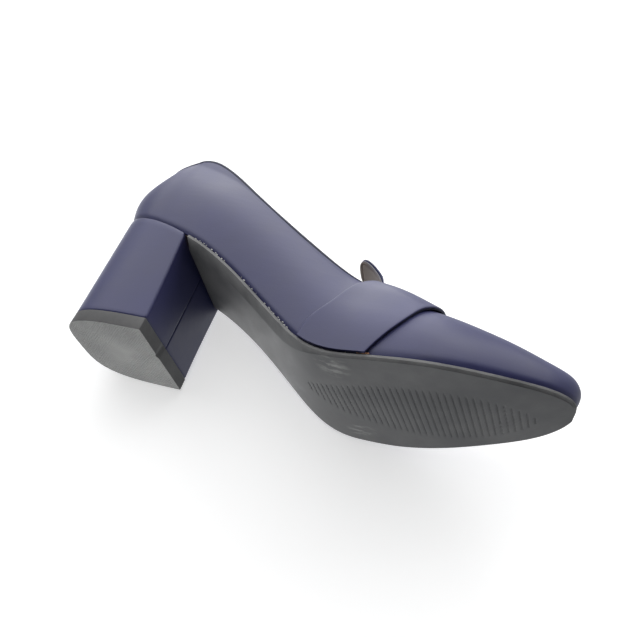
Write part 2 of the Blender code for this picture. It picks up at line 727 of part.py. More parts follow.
def build_pins(block, piece, steel):
    """Dowels that hold the top piece to the heel block."""
    for number, (x, station) in enumerate(PIN_PLACES, 1):
        base = (x, station, PIN_BOTTOM)
        turned("top_piece_pin_%d" % number,
               [(PIN_RADIUS, 0), (PIN_RADIUS, PIN_HEIGHT - 1), (PIN_RADIUS * 0.6, PIN_HEIGHT)],
               base, Vector((0, 0, 1)), steel)
        cutter = turned("bore_pin_%d" % number,
                        [(PIN_RADIUS + GAP, -GAP), (PIN_RADIUS + GAP, PIN_HEIGHT + GAP)],
                        base, Vector((0, 0, 1)), steel)
        cut(block, cutter)
        cut(piece, cutter)


def main():
    for obj in list(bpy.data.objects):
        bpy.data.objects.remove(obj, do_unlink=True)
    navy = material("navy_leather", (0.030, 0.035, 0.075), 0.38)
    lining = material("beige_lining", (0.42, 0.33, 0.24), 0.75)
    board = material("fibre_board", (0.30, 0.22, 0.15), 0.9)
    foam = material("foam", (0.75, 0.72, 0.62), 0.95)
    sock = material("sock_leather", (0.45, 0.36, 0.27), 0.6)
    cork = material("cork_filler", (0.36, 0.25, 0.14), 0.95)
    rubber = material("grey_rubber", (0.055, 0.058, 0.062), 0.6)
    lift = material("lift_rubber", (0.20, 0.20, 0.21), 0.6)
    plastic = material("heel_plastic", (0.12, 0.12, 0.13), 0.5)
    steel = material("steel", (0.55, 0.56, 0.58), 0.35, 1.0)
    build_vamp(navy, lining, board)
    build_quarters(navy, lining, board)
    build_strap(navy, lining)
    build_tongue(navy, lining)
    boards = build_boards(board, foam, sock, cork)
    shank = build_shank(steel)
    build_outsole(rubber)
    block, piece = build_heel(plastic, navy, lift)
    build_fasteners(boards, block, shank, steel)
    build_pins(block, piece, steel)


main()
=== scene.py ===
import math

import bmesh
import bpy
import numpy as np
from mathutils import Matrix, Vector


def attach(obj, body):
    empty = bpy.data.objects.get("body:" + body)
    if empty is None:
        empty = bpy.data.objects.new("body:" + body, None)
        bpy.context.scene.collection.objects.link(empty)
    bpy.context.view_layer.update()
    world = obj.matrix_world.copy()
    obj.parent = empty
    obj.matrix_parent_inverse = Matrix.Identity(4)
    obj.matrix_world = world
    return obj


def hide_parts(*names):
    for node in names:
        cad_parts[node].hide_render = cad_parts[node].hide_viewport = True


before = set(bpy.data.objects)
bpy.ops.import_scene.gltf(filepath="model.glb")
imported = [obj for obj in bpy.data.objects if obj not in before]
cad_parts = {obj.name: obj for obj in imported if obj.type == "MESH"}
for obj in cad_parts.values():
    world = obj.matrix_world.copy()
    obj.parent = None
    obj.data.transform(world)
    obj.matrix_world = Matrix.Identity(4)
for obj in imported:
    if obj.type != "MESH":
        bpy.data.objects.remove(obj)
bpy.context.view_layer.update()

# The looks of a navy block-heel loafer pump, a left shoe. Tables are in millimetres: stations run
# from 0 at the back of the heel to the toe, x is 0 on the heel's centre line with the lateral side
# positive, and z is 0 on the ground. place() turns them into metres in the frame, toe along -Y.

MM = 0.001
QUARTER_TURN = math.pi / 2

# ---- the last: the same driving dimensions as the CAD ----
LENGTH = 228.0
BACK_MOST = -3.1
TOE_MOST = 228.9
MID_X = 3.25
GAP = 0.3
BACK_CENTRE = 30.0
BACK_START = -0.2
BACK_POWER = 2.5
TOE_CENTRE = 200.0
TOE_TIP_X = -2.5
TOE_WALL = 8.0
TOE_SWELL = 1.9
# feather line: (station, half width) at the seat, waist, ball, toe start, toe corner and tip
MEDIAL_LINE = [(20, 26.5), (55, 28), (103, 26.5), (140, 32), (167, 35), (TOE_CENTRE, 27.5),
               (217, 18.5), (LENGTH - 1, -TOE_TIP_X)]
LATERAL_LINE = [(20, 27), (55, 30.5), (95, 32), (120, 37), (148, 40), (172, 35.5),
                (TOE_CENTRE, 24.5), (217, 16), (LENGTH - 1, TOE_TIP_X)]
TREAD_HEIGHT = 2.5
TREAD_END = 150
TOE_SPRING = 10.0
SEAT_STATIONS = [-4, 22, 50, 80, 105, 120, 132, 143]
SEAT_HEIGHT = [69.5, 63.5, 53.5, 35.5, 16.5, 6.5, 3, TREAD_HEIGHT]
CROWN_STATIONS = [0, 40, 80, 105, 120, 131, 140, 150, 164, 174, 185, 200]
CROWN_HEIGHT = [190, 168, 130, 98, 74, 60, 54.5, 50, 44, 41, 37.5, 33]
TOPLINE_STATIONS = [-4, 10, 22, 32, 45, 68, 89, 108, 124, 138]
TOPLINE_HEIGHT = [102, 103, 107, 111, 107, 90.5, 75.5, 62.5, 53, 48]
LATERAL_TOPLINE_DROP = 2.0
SECTION_STATIONS = [0, 60, 110, 140, 170, 200, LENGTH]
SECTION_POWER = [2.6, 2.5, 2.2, 2.05, 2.1, 2.25, 2.3]
SIDE_BULGE = [0.05, 0.10, 0.09, 0.03, 0.02, 0.02, 0.0]
BACK_HEIGHTS = [0, 8, 18, 32, 50, 70]
BACK_SHIFT = [0, -2.5, -2, 7, 18.5, 28]

LEATHER_DEPTH = 1.2
LINING_DEPTHS = (2.4, 3.2)
LINING_DROP = 0.6
SEAM_STATION = 138.0

OUTSOLE_THICK = 2.3
OUTSOLE_WAIST_THICK = 4.2
OUTSOLE_EDGE = 1.7
TREAD_EDGE = 1.4
WAIST_BEVEL = 7.0
TREAD_BEVEL = 0.9
OUTSOLE_LIP = 0.5
OUTSOLE_START = 46.2

BREAST = 46.5
BREAST_LEAN = -2.2
HEEL_BACK = 2.5
HEEL_YAW = math.radians(2)
LIFT_HALF_WIDTH = 26
LIFT_POWER = 3.5
LIFT_THICK = 6.5
COVER_THICK = 1.0

STRAP_TURNS = [0, 0.2, 0.42, 0.7, 0.9, 1.0]
STRAP_REAR = [116.5, 119.5, 126, 133, 140.5, 144]
STRAP_FRONT = [146, 152, 158, 164, 169.5, 171.5]
STRAP_THICK = 1.5
STRAP_FACE = 0.9
STRAP_STANDOFF = 1.4
STRAP_DIP = 0.9
STRAP_BOW = 1.2
TONGUE_HALF_WIDTH = 11.5
TONGUE_THICK = 1.8
TONGUE_ROOT = (142.9, 161)
TONGUE_ROOT_THICK = 1.0
TONGUE_ROOT_FLATNESS = 0.1
TONGUE_HINGE_GAP = 1.7
TONGUE_CLEARANCE = 0.9
TONGUE_FLAP = 20
TONGUE_RISE = math.radians(56)
TONGUE_LEAN = math.radians(22)
TONGUE_SKEW = -3.5
TONGUE_FLATNESS = 0.25

# ---- the view ----
# seen from the medial side and from below, as the shoe lies on its lateral side
VIEW_TURN = math.radians(18.8)    # from +X towards +Y
VIEW_RISE = math.radians(33)      # upward
VIEW_ROLL = math.radians(19.6)
VIEW_AIM = Vector((0, 0.001, 0.04))
VIEW_DISTANCE = 0.288
CAMERA_LENS = 34.0
SENSOR = 36.0
LAID_NORMAL = Vector((0.99, 0.15, -0.05)).normalized()   # of the plane it lies on, outward


# ---- curves ----
def spline(stations, values):
    """Natural cubic spline through (stations, values), as a function of numbers or arrays."""
    x = np.asarray(stations, float)
    y = np.asarray(values, float)
    h = np.diff(x)
    count = len(x)
    matrix = np.eye(count)
    right = np.zeros(count)
    for i in range(1, count - 1):
        matrix[i, i - 1:i + 2] = (h[i - 1], 2 * (h[i - 1] + h[i]), h[i])
        right[i] = 6 * ((y[i + 1] - y[i]) / h[i] - (y[i] - y[i - 1]) / h[i - 1])
    bend = np.linalg.solve(matrix, right)

    def read(at):
        at = np.asarray(at, float)
        k = np.clip(np.searchsorted(x, at) - 1, 0, count - 2)
        a = x[k + 1] - at
        b = at - x[k]
        step = h[k]
        return ((bend[k] * a ** 3 + bend[k + 1] * b ** 3) / (6 * step)
                + (y[k] / step - bend[k] * step / 6) * a
                + (y[k + 1] / step - bend[k + 1] * step / 6) * b)
    return read


def smoothstep(low, high, value):
    t = np.clip((np.asarray(value, float) - low) / (high - low), 0.0, 1.0)
    return t * t * (3 - 2 * t)


TOE_RUN = LENGTH - 1 - TOE_CENTRE


def toe_turn(station):
    """Stretches stations round the toe, so that its tip is met at a right angle."""
    ahead = (np.asarray(station, float) - TOE_CENTRE) / TOE_RUN
    return np.where(ahead < 0, ahead, np.arcsin(np.clip(ahead, 0.0, 1.0)))


medial_width = spline(toe_turn([station for station, _ in MEDIAL_LINE]), [w for _, w in MEDIAL_LINE])
lateral_width = spline(toe_turn([station for station, _ in LATERAL_LINE]), [w for _, w in LATERAL_LINE])
spring_stations = np.linspace(TREAD_END, LENGTH, 4)
spring_height = TREAD_HEIGHT + TOE_SPRING * ((spring_stations - TREAD_END) / (LENGTH - TREAD_END)) ** 2
bed = spline(SEAT_STATIONS + list(spring_stations), SEAT_HEIGHT + list(spring_height))
side_crown = spline(CROWN_STATIONS, CROWN_HEIGHT)
medial_topline = spline(TOPLINE_STATIONS, TOPLINE_HEIGHT)
section_power = spline(SECTION_STATIONS, SECTION_POWER)
side_bulge = spline(SECTION_STATIONS, SIDE_BULGE)
back_shift = spline(BACK_HEIGHTS, BACK_SHIFT)
strap_rear = spline(STRAP_TURNS, STRAP_REAR)
strap_front = spline(STRAP_TURNS, STRAP_FRONT)


def side_width(side, turn):
    """Signed x of the feather line, for a toe_turn value ahead of the heel's rounding."""
    return -medial_width(turn) if side < 0 else lateral_width(turn)


def feather(side, way, depth=0.0):
    """Plan point of the feather line moved in by depth: way -1..0 back, 0..1 side, 1..2 toe."""
    way = np.asarray(way, float)
    back = QUARTER_TURN * (1 + np.clip(way, -1, 0))
    reach = abs(float(side_width(side, toe_turn(BACK_CENTRE)))) - depth
    run = BACK_CENTRE - BACK_START - depth
    back_x = side * reach * np.sin(back) ** (2 / BACK_POWER)
    back_station = BACK_CENTRE - run * np.abs(np.cos(back)) ** (2 / BACK_POWER)
    side_station = BACK_CENTRE + (TOE_CENTRE - BACK_CENTRE) * np.clip(way, 0, 1)
    side_x = side_width(side, toe_turn(side_station)) - side * depth
    turn = QUARTER_TURN * np.clip(way - 1, 0, 1)
    toe_x = side_width(side, turn) - side * depth * np.cos(turn)
    toe_station = TOE_CENTRE + (TOE_RUN - depth) * np.sin(turn)
    x = np.where(way < 0, back_x, np.where(way <= 1, side_x, toe_x))
    station = np.where(way < 0, back_station, np.where(way <= 1, side_station, toe_station))
    return x, station


def way_at(station):
    station = np.asarray(station, float)
    straight = (station - BACK_CENTRE) / (TOE_CENTRE - BACK_CENTRE)
    return np.where(station <= TOE_CENTRE, straight, 1 + toe_turn(station) / QUARTER_TURN)


def crown(way, station):
    """Height of the last's crown; it drops to the feather line round the toe."""
    way = np.asarray(way, float)
    turn = QUARTER_TURN * np.clip(way - 1, 0, 1)
    rise = CROWN_HEIGHT[-1] - float(bed(TOE_CENTRE)) - TOE_WALL
    slope = (CROWN_HEIGHT[-1] - CROWN_HEIGHT[-2]) / (CROWN_STATIONS[-1] - CROWN_STATIONS[-2])
    lean = (slope - 0.16) * TOE_RUN * np.sin(turn) * np.cos(turn) ** 2
    toe = bed(station) + TOE_WALL + rise * np.abs(np.cos(turn)) ** 0.92 + lean
    return np.where(way <= 1, side_crown(np.minimum(station, TOE_CENTRE)), toe)


def last_point(side, way, rise, depth=0.0):
    """Points (x, station, z) of the last's skin; rise is 0 on the feather line, 1 on the crown."""
    way, rise, depth = np.broadcast_arrays(np.asarray(way, float), rise, depth)
    x_edge, station = feather(side, way, depth)
    base = bed(station)
    fade = np.cos(QUARTER_TURN * np.clip(way - 1, 0, 1))
    top = crown(way, station) - depth * fade
    power = section_power(station)
    x_ridge = TOE_TIP_X * smoothstep(100, LENGTH, station)
    narrow = (1 - np.clip(rise, 0, 1) ** power) ** (1 / power)
    height = (top - base) * rise
    swell = 1 + side_bulge(station) * np.sin(math.pi * np.clip(height / 45.0, 0, 1))
    x = x_ridge + (x_edge - x_ridge) * narrow * swell
    share = np.clip((BACK_CENTRE - station) / (BACK_CENTRE - BACK_START - depth), 0, None)
    shift = share * back_shift(np.minimum(height, 70.0))
    swelling = TOE_SWELL * (1 - fade) * np.sin(math.pi * np.clip(height / 14, 0, 1))
    station = station + np.where(way < 0, shift, 0) + np.where(way > 1, swelling, 0)
    return np.stack(np.broadcast_arrays(x, station, base + height), axis=-1)


def topline(side, station):
    drop = LATERAL_TOPLINE_DROP * smoothstep(15, 60, station) if side > 0 else 0.0
    return medial_topline(station) - drop


def place(points):
    """Shoe measures in millimetres to frame coordinates in metres."""
    points = np.asarray(points, float)
    middle = (TOE_MOST + BACK_MOST) / 2
    out = np.empty(points.shape)
    out[..., 0] = (points[..., 0] - MID_X) * MM
    out[..., 1] = (middle - points[..., 1]) * MM
    out[..., 2] = points[..., 2] * MM
    return out


def unplace(point):
    """Shoe x and station, in millimetres, of a point in the frame."""
    return point.x / MM + MID_X, (TOE_MOST + BACK_MOST) / 2 - point.y / MM


# ---- mesh helpers ----
WELD = 0.00001


def finish_mesh(name, verts, faces, mat, smooth_angle=40.0):
    """Object from vertices in metres, welded first."""
    rough = bpy.data.meshes.new(name)
    rough.from_pydata([tuple(v) for v in verts], [], faces)
    bm = bmesh.new()
    bm.from_mesh(rough)
    bpy.data.meshes.remove(rough)
    bmesh.ops.remove_doubles(bm, verts=bm.verts, dist=WELD)
    bmesh.ops.dissolve_degenerate(bm, edges=bm.edges, dist=WELD / 2)
    return finish_bmesh(name, bm, mat, smooth_angle)


def finish_bmesh(name, bm, mat, smooth_angle=35.0):
    """Object whose faces look outward and are shaded smooth up to an angle in degrees."""
    bmesh.ops.recalc_face_normals(bm, faces=bm.faces)
    if bm.calc_volume(signed=True) < 0:
        bmesh.ops.reverse_faces(bm, faces=bm.faces)
    mesh = bpy.data.meshes.new(name)
    bm.to_mesh(mesh)
    bm.free()
    mesh.shade_smooth()
    mesh.set_sharp_from_angle(angle=math.radians(smooth_angle))
    mesh.materials.append(mat)
    obj = bpy.data.objects.new(name, mesh)
    bpy.context.scene.collection.objects.link(obj)
    return obj


def loop_shell(name, grid, mat, meets=False, smooth_angle=40.0, pairs=True):
    """Closed skin through rows that are each a closed loop; ends are capped by joining pairs.

    The points of a loop are laid out so that point i faces point count - 1 - i, as round a thin
    section. With meets, the last row folds onto itself and needs no cap.
    """
    rows, count = grid.shape[:2]
    verts = place(grid).reshape(-1, 3)
    faces = []
    for i in range(rows - 1):
        for j in range(count):
            k = (j + 1) % count
            faces.append((i * count + j, i * count + k, (i + 1) * count + k, (i + 1) * count + j))
    for i in ((0,) if meets else (0, rows - 1)):
        start = i * count
        if pairs:
            for j in range(count // 2 - 1):
                faces.append((start + j, start + j + 1, start + count - 2 - j, start + count - 1 - j))
        else:
            faces.append(tuple(start + j for j in range(count)))
    return finish_mesh(name, verts, faces, mat, smooth_angle)


def thin_loop(outer, inner, rim_steps=4):
    """Loops round a thin section: outer runs to the rim, inner back, with a round rim between.

    outer and inner are grids of shape (rows, points, 3), both running from foot to rim.
    """
    middle = (outer[:, -1] + inner[:, -1]) / 2
    half = (outer[:, -1] - inner[:, -1]) / 2
    ahead = outer[:, -1] - outer[:, -2]
    ahead = ahead / np.linalg.norm(ahead, axis=-1, keepdims=True)
    radius = np.linalg.norm(half, axis=-1, keepdims=True)
    rim = []
    for step in range(1, 2 * rim_steps):
        angle = math.pi * step / (2 * rim_steps)
        rim.append(middle + half * math.cos(angle) + ahead * radius * math.sin(angle))
    rim = np.stack(rim, axis=1)
    return np.concatenate([outer, rim, inner[:, ::-1]], axis=1)


# ---- the upper ----
TUCK_HEIGHT = 2.6        # above the feather line, where the leather turns in under the foot
TUCK = 0.9


def wall(side, ways, shares, depth, drop=0.0, tuck=0.0):
    """Grid of a quarter, from the feather line (share 0) to the topline (share 1)."""
    way = np.asarray(ways)[:, None]
    share = np.asarray(shares)[None, :]
    station = feather(side, way)[1]
    edge = topline(side, station) - drop
    deep_station = feather(side, way, depth)[1]
    base = bed(deep_station)
    top = crown(way, deep_station) - depth
    height = (edge - base) * share
    inward = tuck * np.clip(1 - height / TUCK_HEIGHT, 0, 1) ** 2
    return last_point(side, way, height / (top - base), depth + inward)


def close_steps(count, power=1.0):
    """Shares from 0 to 1, finer near both ends."""
    t = np.linspace(0, 1, count)
    eased = (1 - np.cos(math.pi * t)) / 2
    return t * (1 - power) + eased * power


def quarter_ways(back_count=34, side_count=64):
    back = -1 + np.linspace(0, 1, back_count) ** 0.9
    side = np.linspace(0, float(way_at(SEAM_STATION)), side_count)[1:]
    return np.concatenate([back, side])


def build_quarters():
    ways = quarter_ways()
    shares = close_steps(46, 0.55)
    for side, word in ((-1, "medial"), (1, "lateral")):
        outer = wall(side, ways, shares, 0.0, 0.5, TUCK)
        inner = wall(side, ways, shares, LEATHER_DEPTH, 0.5, TUCK)
        # a shallow valley where the two quarters are sewn together up the back
        valley = 0.55 * np.exp(-((ways + 1) / 0.03) ** 2)[:, None]
        outer[..., 1] += valley * (1 - 0.2 * shares[None, :])
        quarter = loop_shell("quarter_%s_leather" % word, thin_loop(outer, inner), MATS["navy"])
        adopt(quarter, "shoe", "navy_leather", "quarter_" + word)
        outer = wall(side, ways, shares, LINING_DEPTHS[0], LINING_DROP)
        inner = wall(side, ways, shares, LINING_DEPTHS[1], LINING_DROP)
        lining = loop_shell("quarter_%s_lining" % word, thin_loop(outer, inner, 3), MATS["lining"])
        adopt(lining, "shoe", "lining", "quarter_lining_" + word)


def vamp_ways(count=56, toe_count=40):
    side = np.linspace(float(way_at(SEAM_STATION + 0.4)), 1.0, count)
    toe = 1 + np.sin(np.linspace(0, QUARTER_TURN, toe_count))[1:]
    return np.concatenate([side, toe])


def vamp_rows(ways, rises, depth, tuck=0.0):
    """Grid that crosses from the medial feather line over the crown to the lateral one."""
    way = np.asarray(ways)[:, None]
    rise = np.asarray(rises)[None, :]
    station = feather(-1, way)[1]
    height = (crown(way, station) - bed(station)) * rise
    inward = tuck * np.clip(1 - height / TUCK_HEIGHT, 0, 1) ** 2 * np.cos(
        QUARTER_TURN * np.clip(way - 1, 0, 1)) ** 0.3
    medial = last_point(-1, way, rise, depth + inward)
    lateral = last_point(1, way, rise, depth + inward)
    return np.concatenate([medial, lateral[:, -2::-1]], axis=1)


def rise_steps(count):
    """Shares of the crown's height that give even steps round the section."""
    angle = np.linspace(0, QUARTER_TURN, count)
    return np.sin(angle) ** (2 / 2.1)


def relax(grid, first, last, passes, weight=0.5):
    """Evens a grid along its rows' direction between two rows, which takes out slope breaks."""
    grid = grid.copy()
    for _ in range(passes):
        middle = (grid[first - 1:last - 1] + grid[first + 1:last + 1]) / 2
        grid[first:last] += weight * (middle - grid[first:last])
    return grid


def build_vamp():
    ways = vamp_ways()
    rises = rise_steps(44)
    break_row = int(np.argmin(np.abs(ways - 1)))
    grids = []
    for depth, tuck in ((0.0, TUCK), (LEATHER_DEPTH, TUCK), (LINING_DEPTHS[0], 0), (LINING_DEPTHS[1], 0)):
        grid = vamp_rows(ways, rises, depth, tuck)
        grids.append(relax(grid, break_row - 9, break_row + 9, 12))
    for name, over, under, mat, node, slot in (
            ("vamp_leather", 0, 1, "navy", "vamp", "navy_leather"),
            ("vamp_inner", 2, 3, "lining", "vamp_lining", "lining")):
        loops = np.concatenate([grids[over], grids[under][:, ::-1]], axis=1)
        piece = loop_shell(name, loops, MATS[mat], meets=True)
        adopt(piece, "shoe", slot, node)


# ---- strap and tongue ----
def strap_surface(side, turn, across, depth):
    rear = strap_rear(turn)
    front = strap_front(turn)
    station = rear + (front - rear) * across
    standoff = (STRAP_STANDOFF - STRAP_DIP * np.clip(across, 0, 1) ** 3) * smoothstep(0.45, 0.9, turn)
    bow = STRAP_BOW * np.sin(math.pi * np.clip(across, 0, 1)) * smoothstep(0.5, 1.0, turn)
    base = bed(station)
    seam_rise = (side_crown(SEAM_STATION) - base) / (side_crown(station) - base)
    rise = np.where(station < SEAM_STATION, np.minimum(turn * seam_rise, 1.0), turn)
    return last_point(side, way_at(station), rise, depth - standoff - bow)


def strap_layer(over, under, rim):
    """Loops round the strap's section at each turn, from the medial foot over to the lateral."""
    turns = np.sin(np.linspace(0, QUARTER_TURN, 46)) ** 0.9
    count = 40
    across = np.linspace(0, 1, count)
    sections = []
    for side in (-1, 1):
        turn = turns[:, None]
        share = across[None, :]
        outer = strap_surface(side, turn, share, over)
        inner = strap_surface(side, turn, share, under)
        loop = rounded_strip(outer, inner, rim)
        sections.append(loop)
    return np.concatenate([sections[0], sections[1][-2::-1]], axis=0)


def rounded_strip(outer, inner, rim):
    """Loops round strips whose two long edges are rolled, with rim steps in each quarter turn."""
    front = thin_loop(outer, inner, rim)
    back = thin_loop(outer[:, ::-1], inner[:, ::-1], rim)
    count = outer.shape[1]
    front_rim = front[:, count:count + 2 * rim - 1]
    back_rim = back[:, count:count + 2 * rim - 1]
    return np.concatenate([back_rim[:, rim - 1::-1], outer, front_rim, inner[:, ::-1],
                           back_rim[:, :rim - 1:-1]], axis=1)


def build_strap():
    outside = -GAP - STRAP_THICK
    face = strap_layer(outside, outside + STRAP_FACE, 3)
    piece = loop_shell("strap_leather", face, MATS["navy"], pairs=False)
    adopt(piece, "shoe", "navy_leather", "strap")
    back = strap_layer(outside + STRAP_FACE + 0.05, -GAP, 2)
    piece = loop_shell("strap_under", back, MATS["navy_back"], pairs=False)
    adopt(piece, "shoe", "lining", "strap_backing")


def crown_at(x, station):
    """Height of the upper's outer surface above a plan point near the crown."""
    side = -1 if x < 0 else 1
    way = float(way_at(station))
    rises = np.linspace(0.3, 1.0, 400)
    skin = last_point(side, way, rises)
    reach = np.abs(skin[:, 0])
    return float(np.interp(-abs(x), -reach, skin[:, 2]))


def build_tongue():
    start, end = TONGUE_ROOT
    xs = TONGUE_HALF_WIDTH * np.sin(np.linspace(-QUARTER_TURN, QUARTER_TURN, 25))
    outer = []
    inner = []
    for station in np.linspace(start, end, 12):
        heights = np.array([crown_at(x, station) for x in xs])
        lifted = heights + TONGUE_ROOT_FLATNESS * (crown_at(0, station) - heights) + GAP
        line = np.stack([xs, np.full(len(xs), station), lifted], axis=-1)
        inner.append(line)
        outer.append(line + (0, 0, TONGUE_ROOT_THICK))
    loops = rounded_strip(np.array(outer), np.array(inner), 3)
    root = loop_shell("tongue_root_leather", loops, MATS["navy"], pairs=False)
    adopt(root, "shoe", "navy_leather", "tongue_root")
    for name, node, low, high, mat, slot in (
            ("tongue_face", "tongue_flap", TONGUE_THICK / 2 - 0.1, TONGUE_THICK, "navy", "navy_leather"),
            ("tongue_back", "tongue_flap_lining", 0.0, TONGUE_THICK / 2 - 0.15, "tongue_lining",
             "navy_leather")):
        piece = build_flap(name, low, high, MATS[mat], low > 0)
        adopt(piece, "tongue", slot, node)


FLAP_GROOVE_INSET = 2.0
FLAP_GROOVE_DEPTH = 0.35
FLAP_ROUNDING = 0.42      # share of the flap's length that its round end takes


def flap_half_width(share):
    corner = np.clip(share - (1 - FLAP_ROUNDING), 0, None) / FLAP_ROUNDING
    return TONGUE_HALF_WIDTH * np.clip(1 - corner ** 3, 0, 1) ** (1 / 2.2)


def build_flap(name, low, high, mat, grooved):
    """Round-ended tab that rises behind the strap, with a pressed line inside its edge."""
    start = TONGUE_ROOT[0]
    pivot_station = start - TONGUE_HINGE_GAP
    crown_height = crown_at(0, start)
    pivot_z = crown_height + TONGUE_CLEARANCE
    shares = np.sin(np.linspace(0, QUARTER_TURN, 48))
    spread = np.sin(np.linspace(-QUARTER_TURN, QUARTER_TURN, 49))
    half_widths = flap_half_width(shares)[:, None]
    x = spread[None, :] * half_widths
    share = np.repeat(shares[:, None], len(spread), axis=1)
    drops = np.array([crown_height - crown_at(v * TONGUE_HALF_WIDTH, start) for v in spread])
    angle = TONGUE_RISE + (TONGUE_LEAN - TONGUE_RISE) * share
    radius = TONGUE_FLAP / (TONGUE_LEAN - TONGUE_RISE)
    run = radius * (np.sin(angle) - math.sin(TONGUE_RISE))
    rise = radius * (math.cos(TONGUE_RISE) - np.cos(angle))
    rim = np.minimum((half_widths - np.abs(x)), (1 - share) * TONGUE_FLAP)
    rim = np.clip(rim, 0, None)
    round_off = np.clip(1 - rim / 0.8, 0, 1) ** 2
    groove = FLAP_GROOVE_DEPTH * np.exp(-((rim - FLAP_GROOVE_INSET) / 0.28) ** 2)
    surfaces = []
    for lift, is_top in ((high, True), (low, False)):
        seen = is_top == grooved
        level = lift + (-1 if is_top else 1) * ((groove if seen else 0) + 0.3 * round_off)
        along = run - level * np.sin(angle) * np.minimum(share * 4, 1)
        up = rise + level
        sag = drops[None, :] * (1 - TONGUE_FLATNESS) * (1 - share) ** 3
        skewed = x + TONGUE_SKEW * share
        surfaces.append(np.stack([skewed, pivot_station - along, pivot_z + up - sag], axis=-1))
    outer, inner = surfaces
    rows, count = outer.shape[:2]
    verts = place(np.concatenate([outer.reshape(-1, 3), inner.reshape(-1, 3)]))
    faces = []
    shift = rows * count
    for i in range(rows - 1):
        for j in range(count - 1):
            a, b, c, d = i * count + j, i * count + j + 1, (i + 1) * count + j + 1, (i + 1) * count + j
            faces.append((a, b, c, d))
            faces.append((d + shift, c + shift, b + shift, a + shift))
        for j in (0, count - 1):
            a, d = i * count + j, (i + 1) * count + j
            faces.append((a, d, d + shift, a + shift))
    for j in range(count - 1):
        faces.append((j, j + 1, j + 1 + shift, j + shift))
        k = (rows - 1) * count + j
        faces.append((k, k + 1, k + 1 + shift, k + shift))
    return finish_mesh(name, verts, faces, mat)


# ---- outsole ----
GROOVE_PITCH = 2.7
GROOVE_DEPTH = 0.55
GROOVE_SLANT = 0.2
GROOVE_FIELD = (116, 214)
FIELD_HALF_WIDTH = 20
FIELD_CENTRE = 2.5        # the field's middle line, a little to the lateral side
FIELD_LEAN = 1.2          # over 1 puts the widest place nearer the toe
FIELD_FULLNESS = 0.6      # under 1 makes the leaf's sides rounder


def field_half(station):
    """Half width of the leaf-shaped field of grooves."""
    start, end = GROOVE_FIELD
    share = np.clip((station - start) / (end - start), 0, 1)
    return FIELD_HALF_WIDTH * np.clip(np.sin(math.pi * share ** FIELD_LEAN), 0, 1) ** FIELD_FULLNESS


def outsole_grid(side, way, inset):
    """Plan points of a line that runs parallel to the outsole's edge, inset from it."""
    x, station = feather(side, way, inset - OUTSOLE_LIP)
    return x, np.minimum(station, LENGTH - 1.2)


def outsole_levels(station):
    waist = 1 - smoothstep(104, 132, station)
    thick = OUTSOLE_THICK + (OUTSOLE_WAIST_THICK - OUTSOLE_THICK) * waist
    edge = TREAD_EDGE + (OUTSOLE_EDGE - TREAD_EDGE) * waist
    bevel = TREAD_BEVEL + (WAIST_BEVEL - TREAD_BEVEL) * waist
    top = bed(station) - GAP
    return top, top - edge, np.maximum(top - thick, 0.0), bevel


def groove_depth(x, station):
    """How deep the tread's fine cuts are at plan points."""
    half = field_half(station)
    offset = (x - FIELD_CENTRE) / np.maximum(half, 0.5)
    inside = smoothstep(1.06, 0.86, np.abs(offset)) * (half > 0.6)
    phase = (station - GROOVE_SLANT * (x - FIELD_CENTRE) - GROOVE_FIELD[0]) / GROOVE_PITCH
    distance = np.abs(phase - np.round(phase)) * GROOVE_PITCH
    cut = np.clip(1 - distance / 0.42, 0, 1)
    return GROOVE_DEPTH * cut * inside


def build_outsole():
    start = float(way_at(OUTSOLE_START))
    stations = np.arange(OUTSOLE_START, TOE_CENTRE, 0.45)
    toe = 1 + np.linspace(0, 0.96, 90) ** 0.9
    ways = np.concatenate([way_at(stations), toe])
    ways[0] = start
    count = 96
    spread = np.linspace(-1, 1, count)
    rows = []
    for way in ways:
        x_medial, station = outsole_grid(-1, way, 0.0)
        x_lateral = outsole_grid(1, way, 0.0)[0]
        top, edge_low, low, bevel = (float(v) for v in outsole_levels(station))
        station = float(station)
        width = float(x_lateral - x_medial)
        bevel = min(bevel, width * 0.25)
        rim = min(0.35, width * 0.05)
        left = [(x_medial + rim, top), (x_medial, top - rim), (x_medial, edge_low + 0.15),
                (x_medial + 0.18, edge_low)]
        right = [(x_lateral - 0.18, edge_low), (x_lateral, edge_low + 0.15),
                 (x_lateral, top - rim), (x_lateral - rim, top)]
        inner_left = x_medial + bevel
        inner_right = x_lateral - bevel
        x = (inner_left + inner_right) / 2 + spread * (inner_right - inner_left) / 2
        z = low + groove_depth(x, np.full(count, station))
        section = [(a, station, b) for a, b in left]
        section += list(zip(x, [station] * count, z))
        section += [(a, station, b) for a, b in right]
        rows.append(section)
    grid = np.array(rows, float)
    piece = loop_shell("outsole_rubber", grid, MATS["rubber"], smooth_angle=24, pairs=False)
    # painted highlight: a paler colour along the outsole's outer corners, for the light its rounded edges
    # catch
    paint_edge_highlight(piece)
    adopt(piece, "shoe", "outsole_rubber", "outsole")


def paint_edge_highlight(piece):
    """Point attribute that is 1 on the outsole's outer corners, where a paler colour is painted as a
    highlight.
    """
    edge_highlight = piece.data.attributes.new("edge_highlight", "FLOAT", "POINT")
    values = np.empty(len(piece.data.vertices))
    for index, vert in enumerate(piece.data.vertices):
        x, station = unplace(vert.co)
        side = -1 if x < MID_X else 1
        edge = float(feather(side, float(way_at(min(station, LENGTH - 1))))[0]) + side * OUTSOLE_LIP
        values[index] = float(smoothstep(0.5, 0.1, abs(abs(x) - abs(edge))))
    edge_highlight.data.foreach_set("value", values)


# ---- heel ----
BACK_STEPS = 110
CORNER_STEPS = 6
BREAST_STEPS = 150


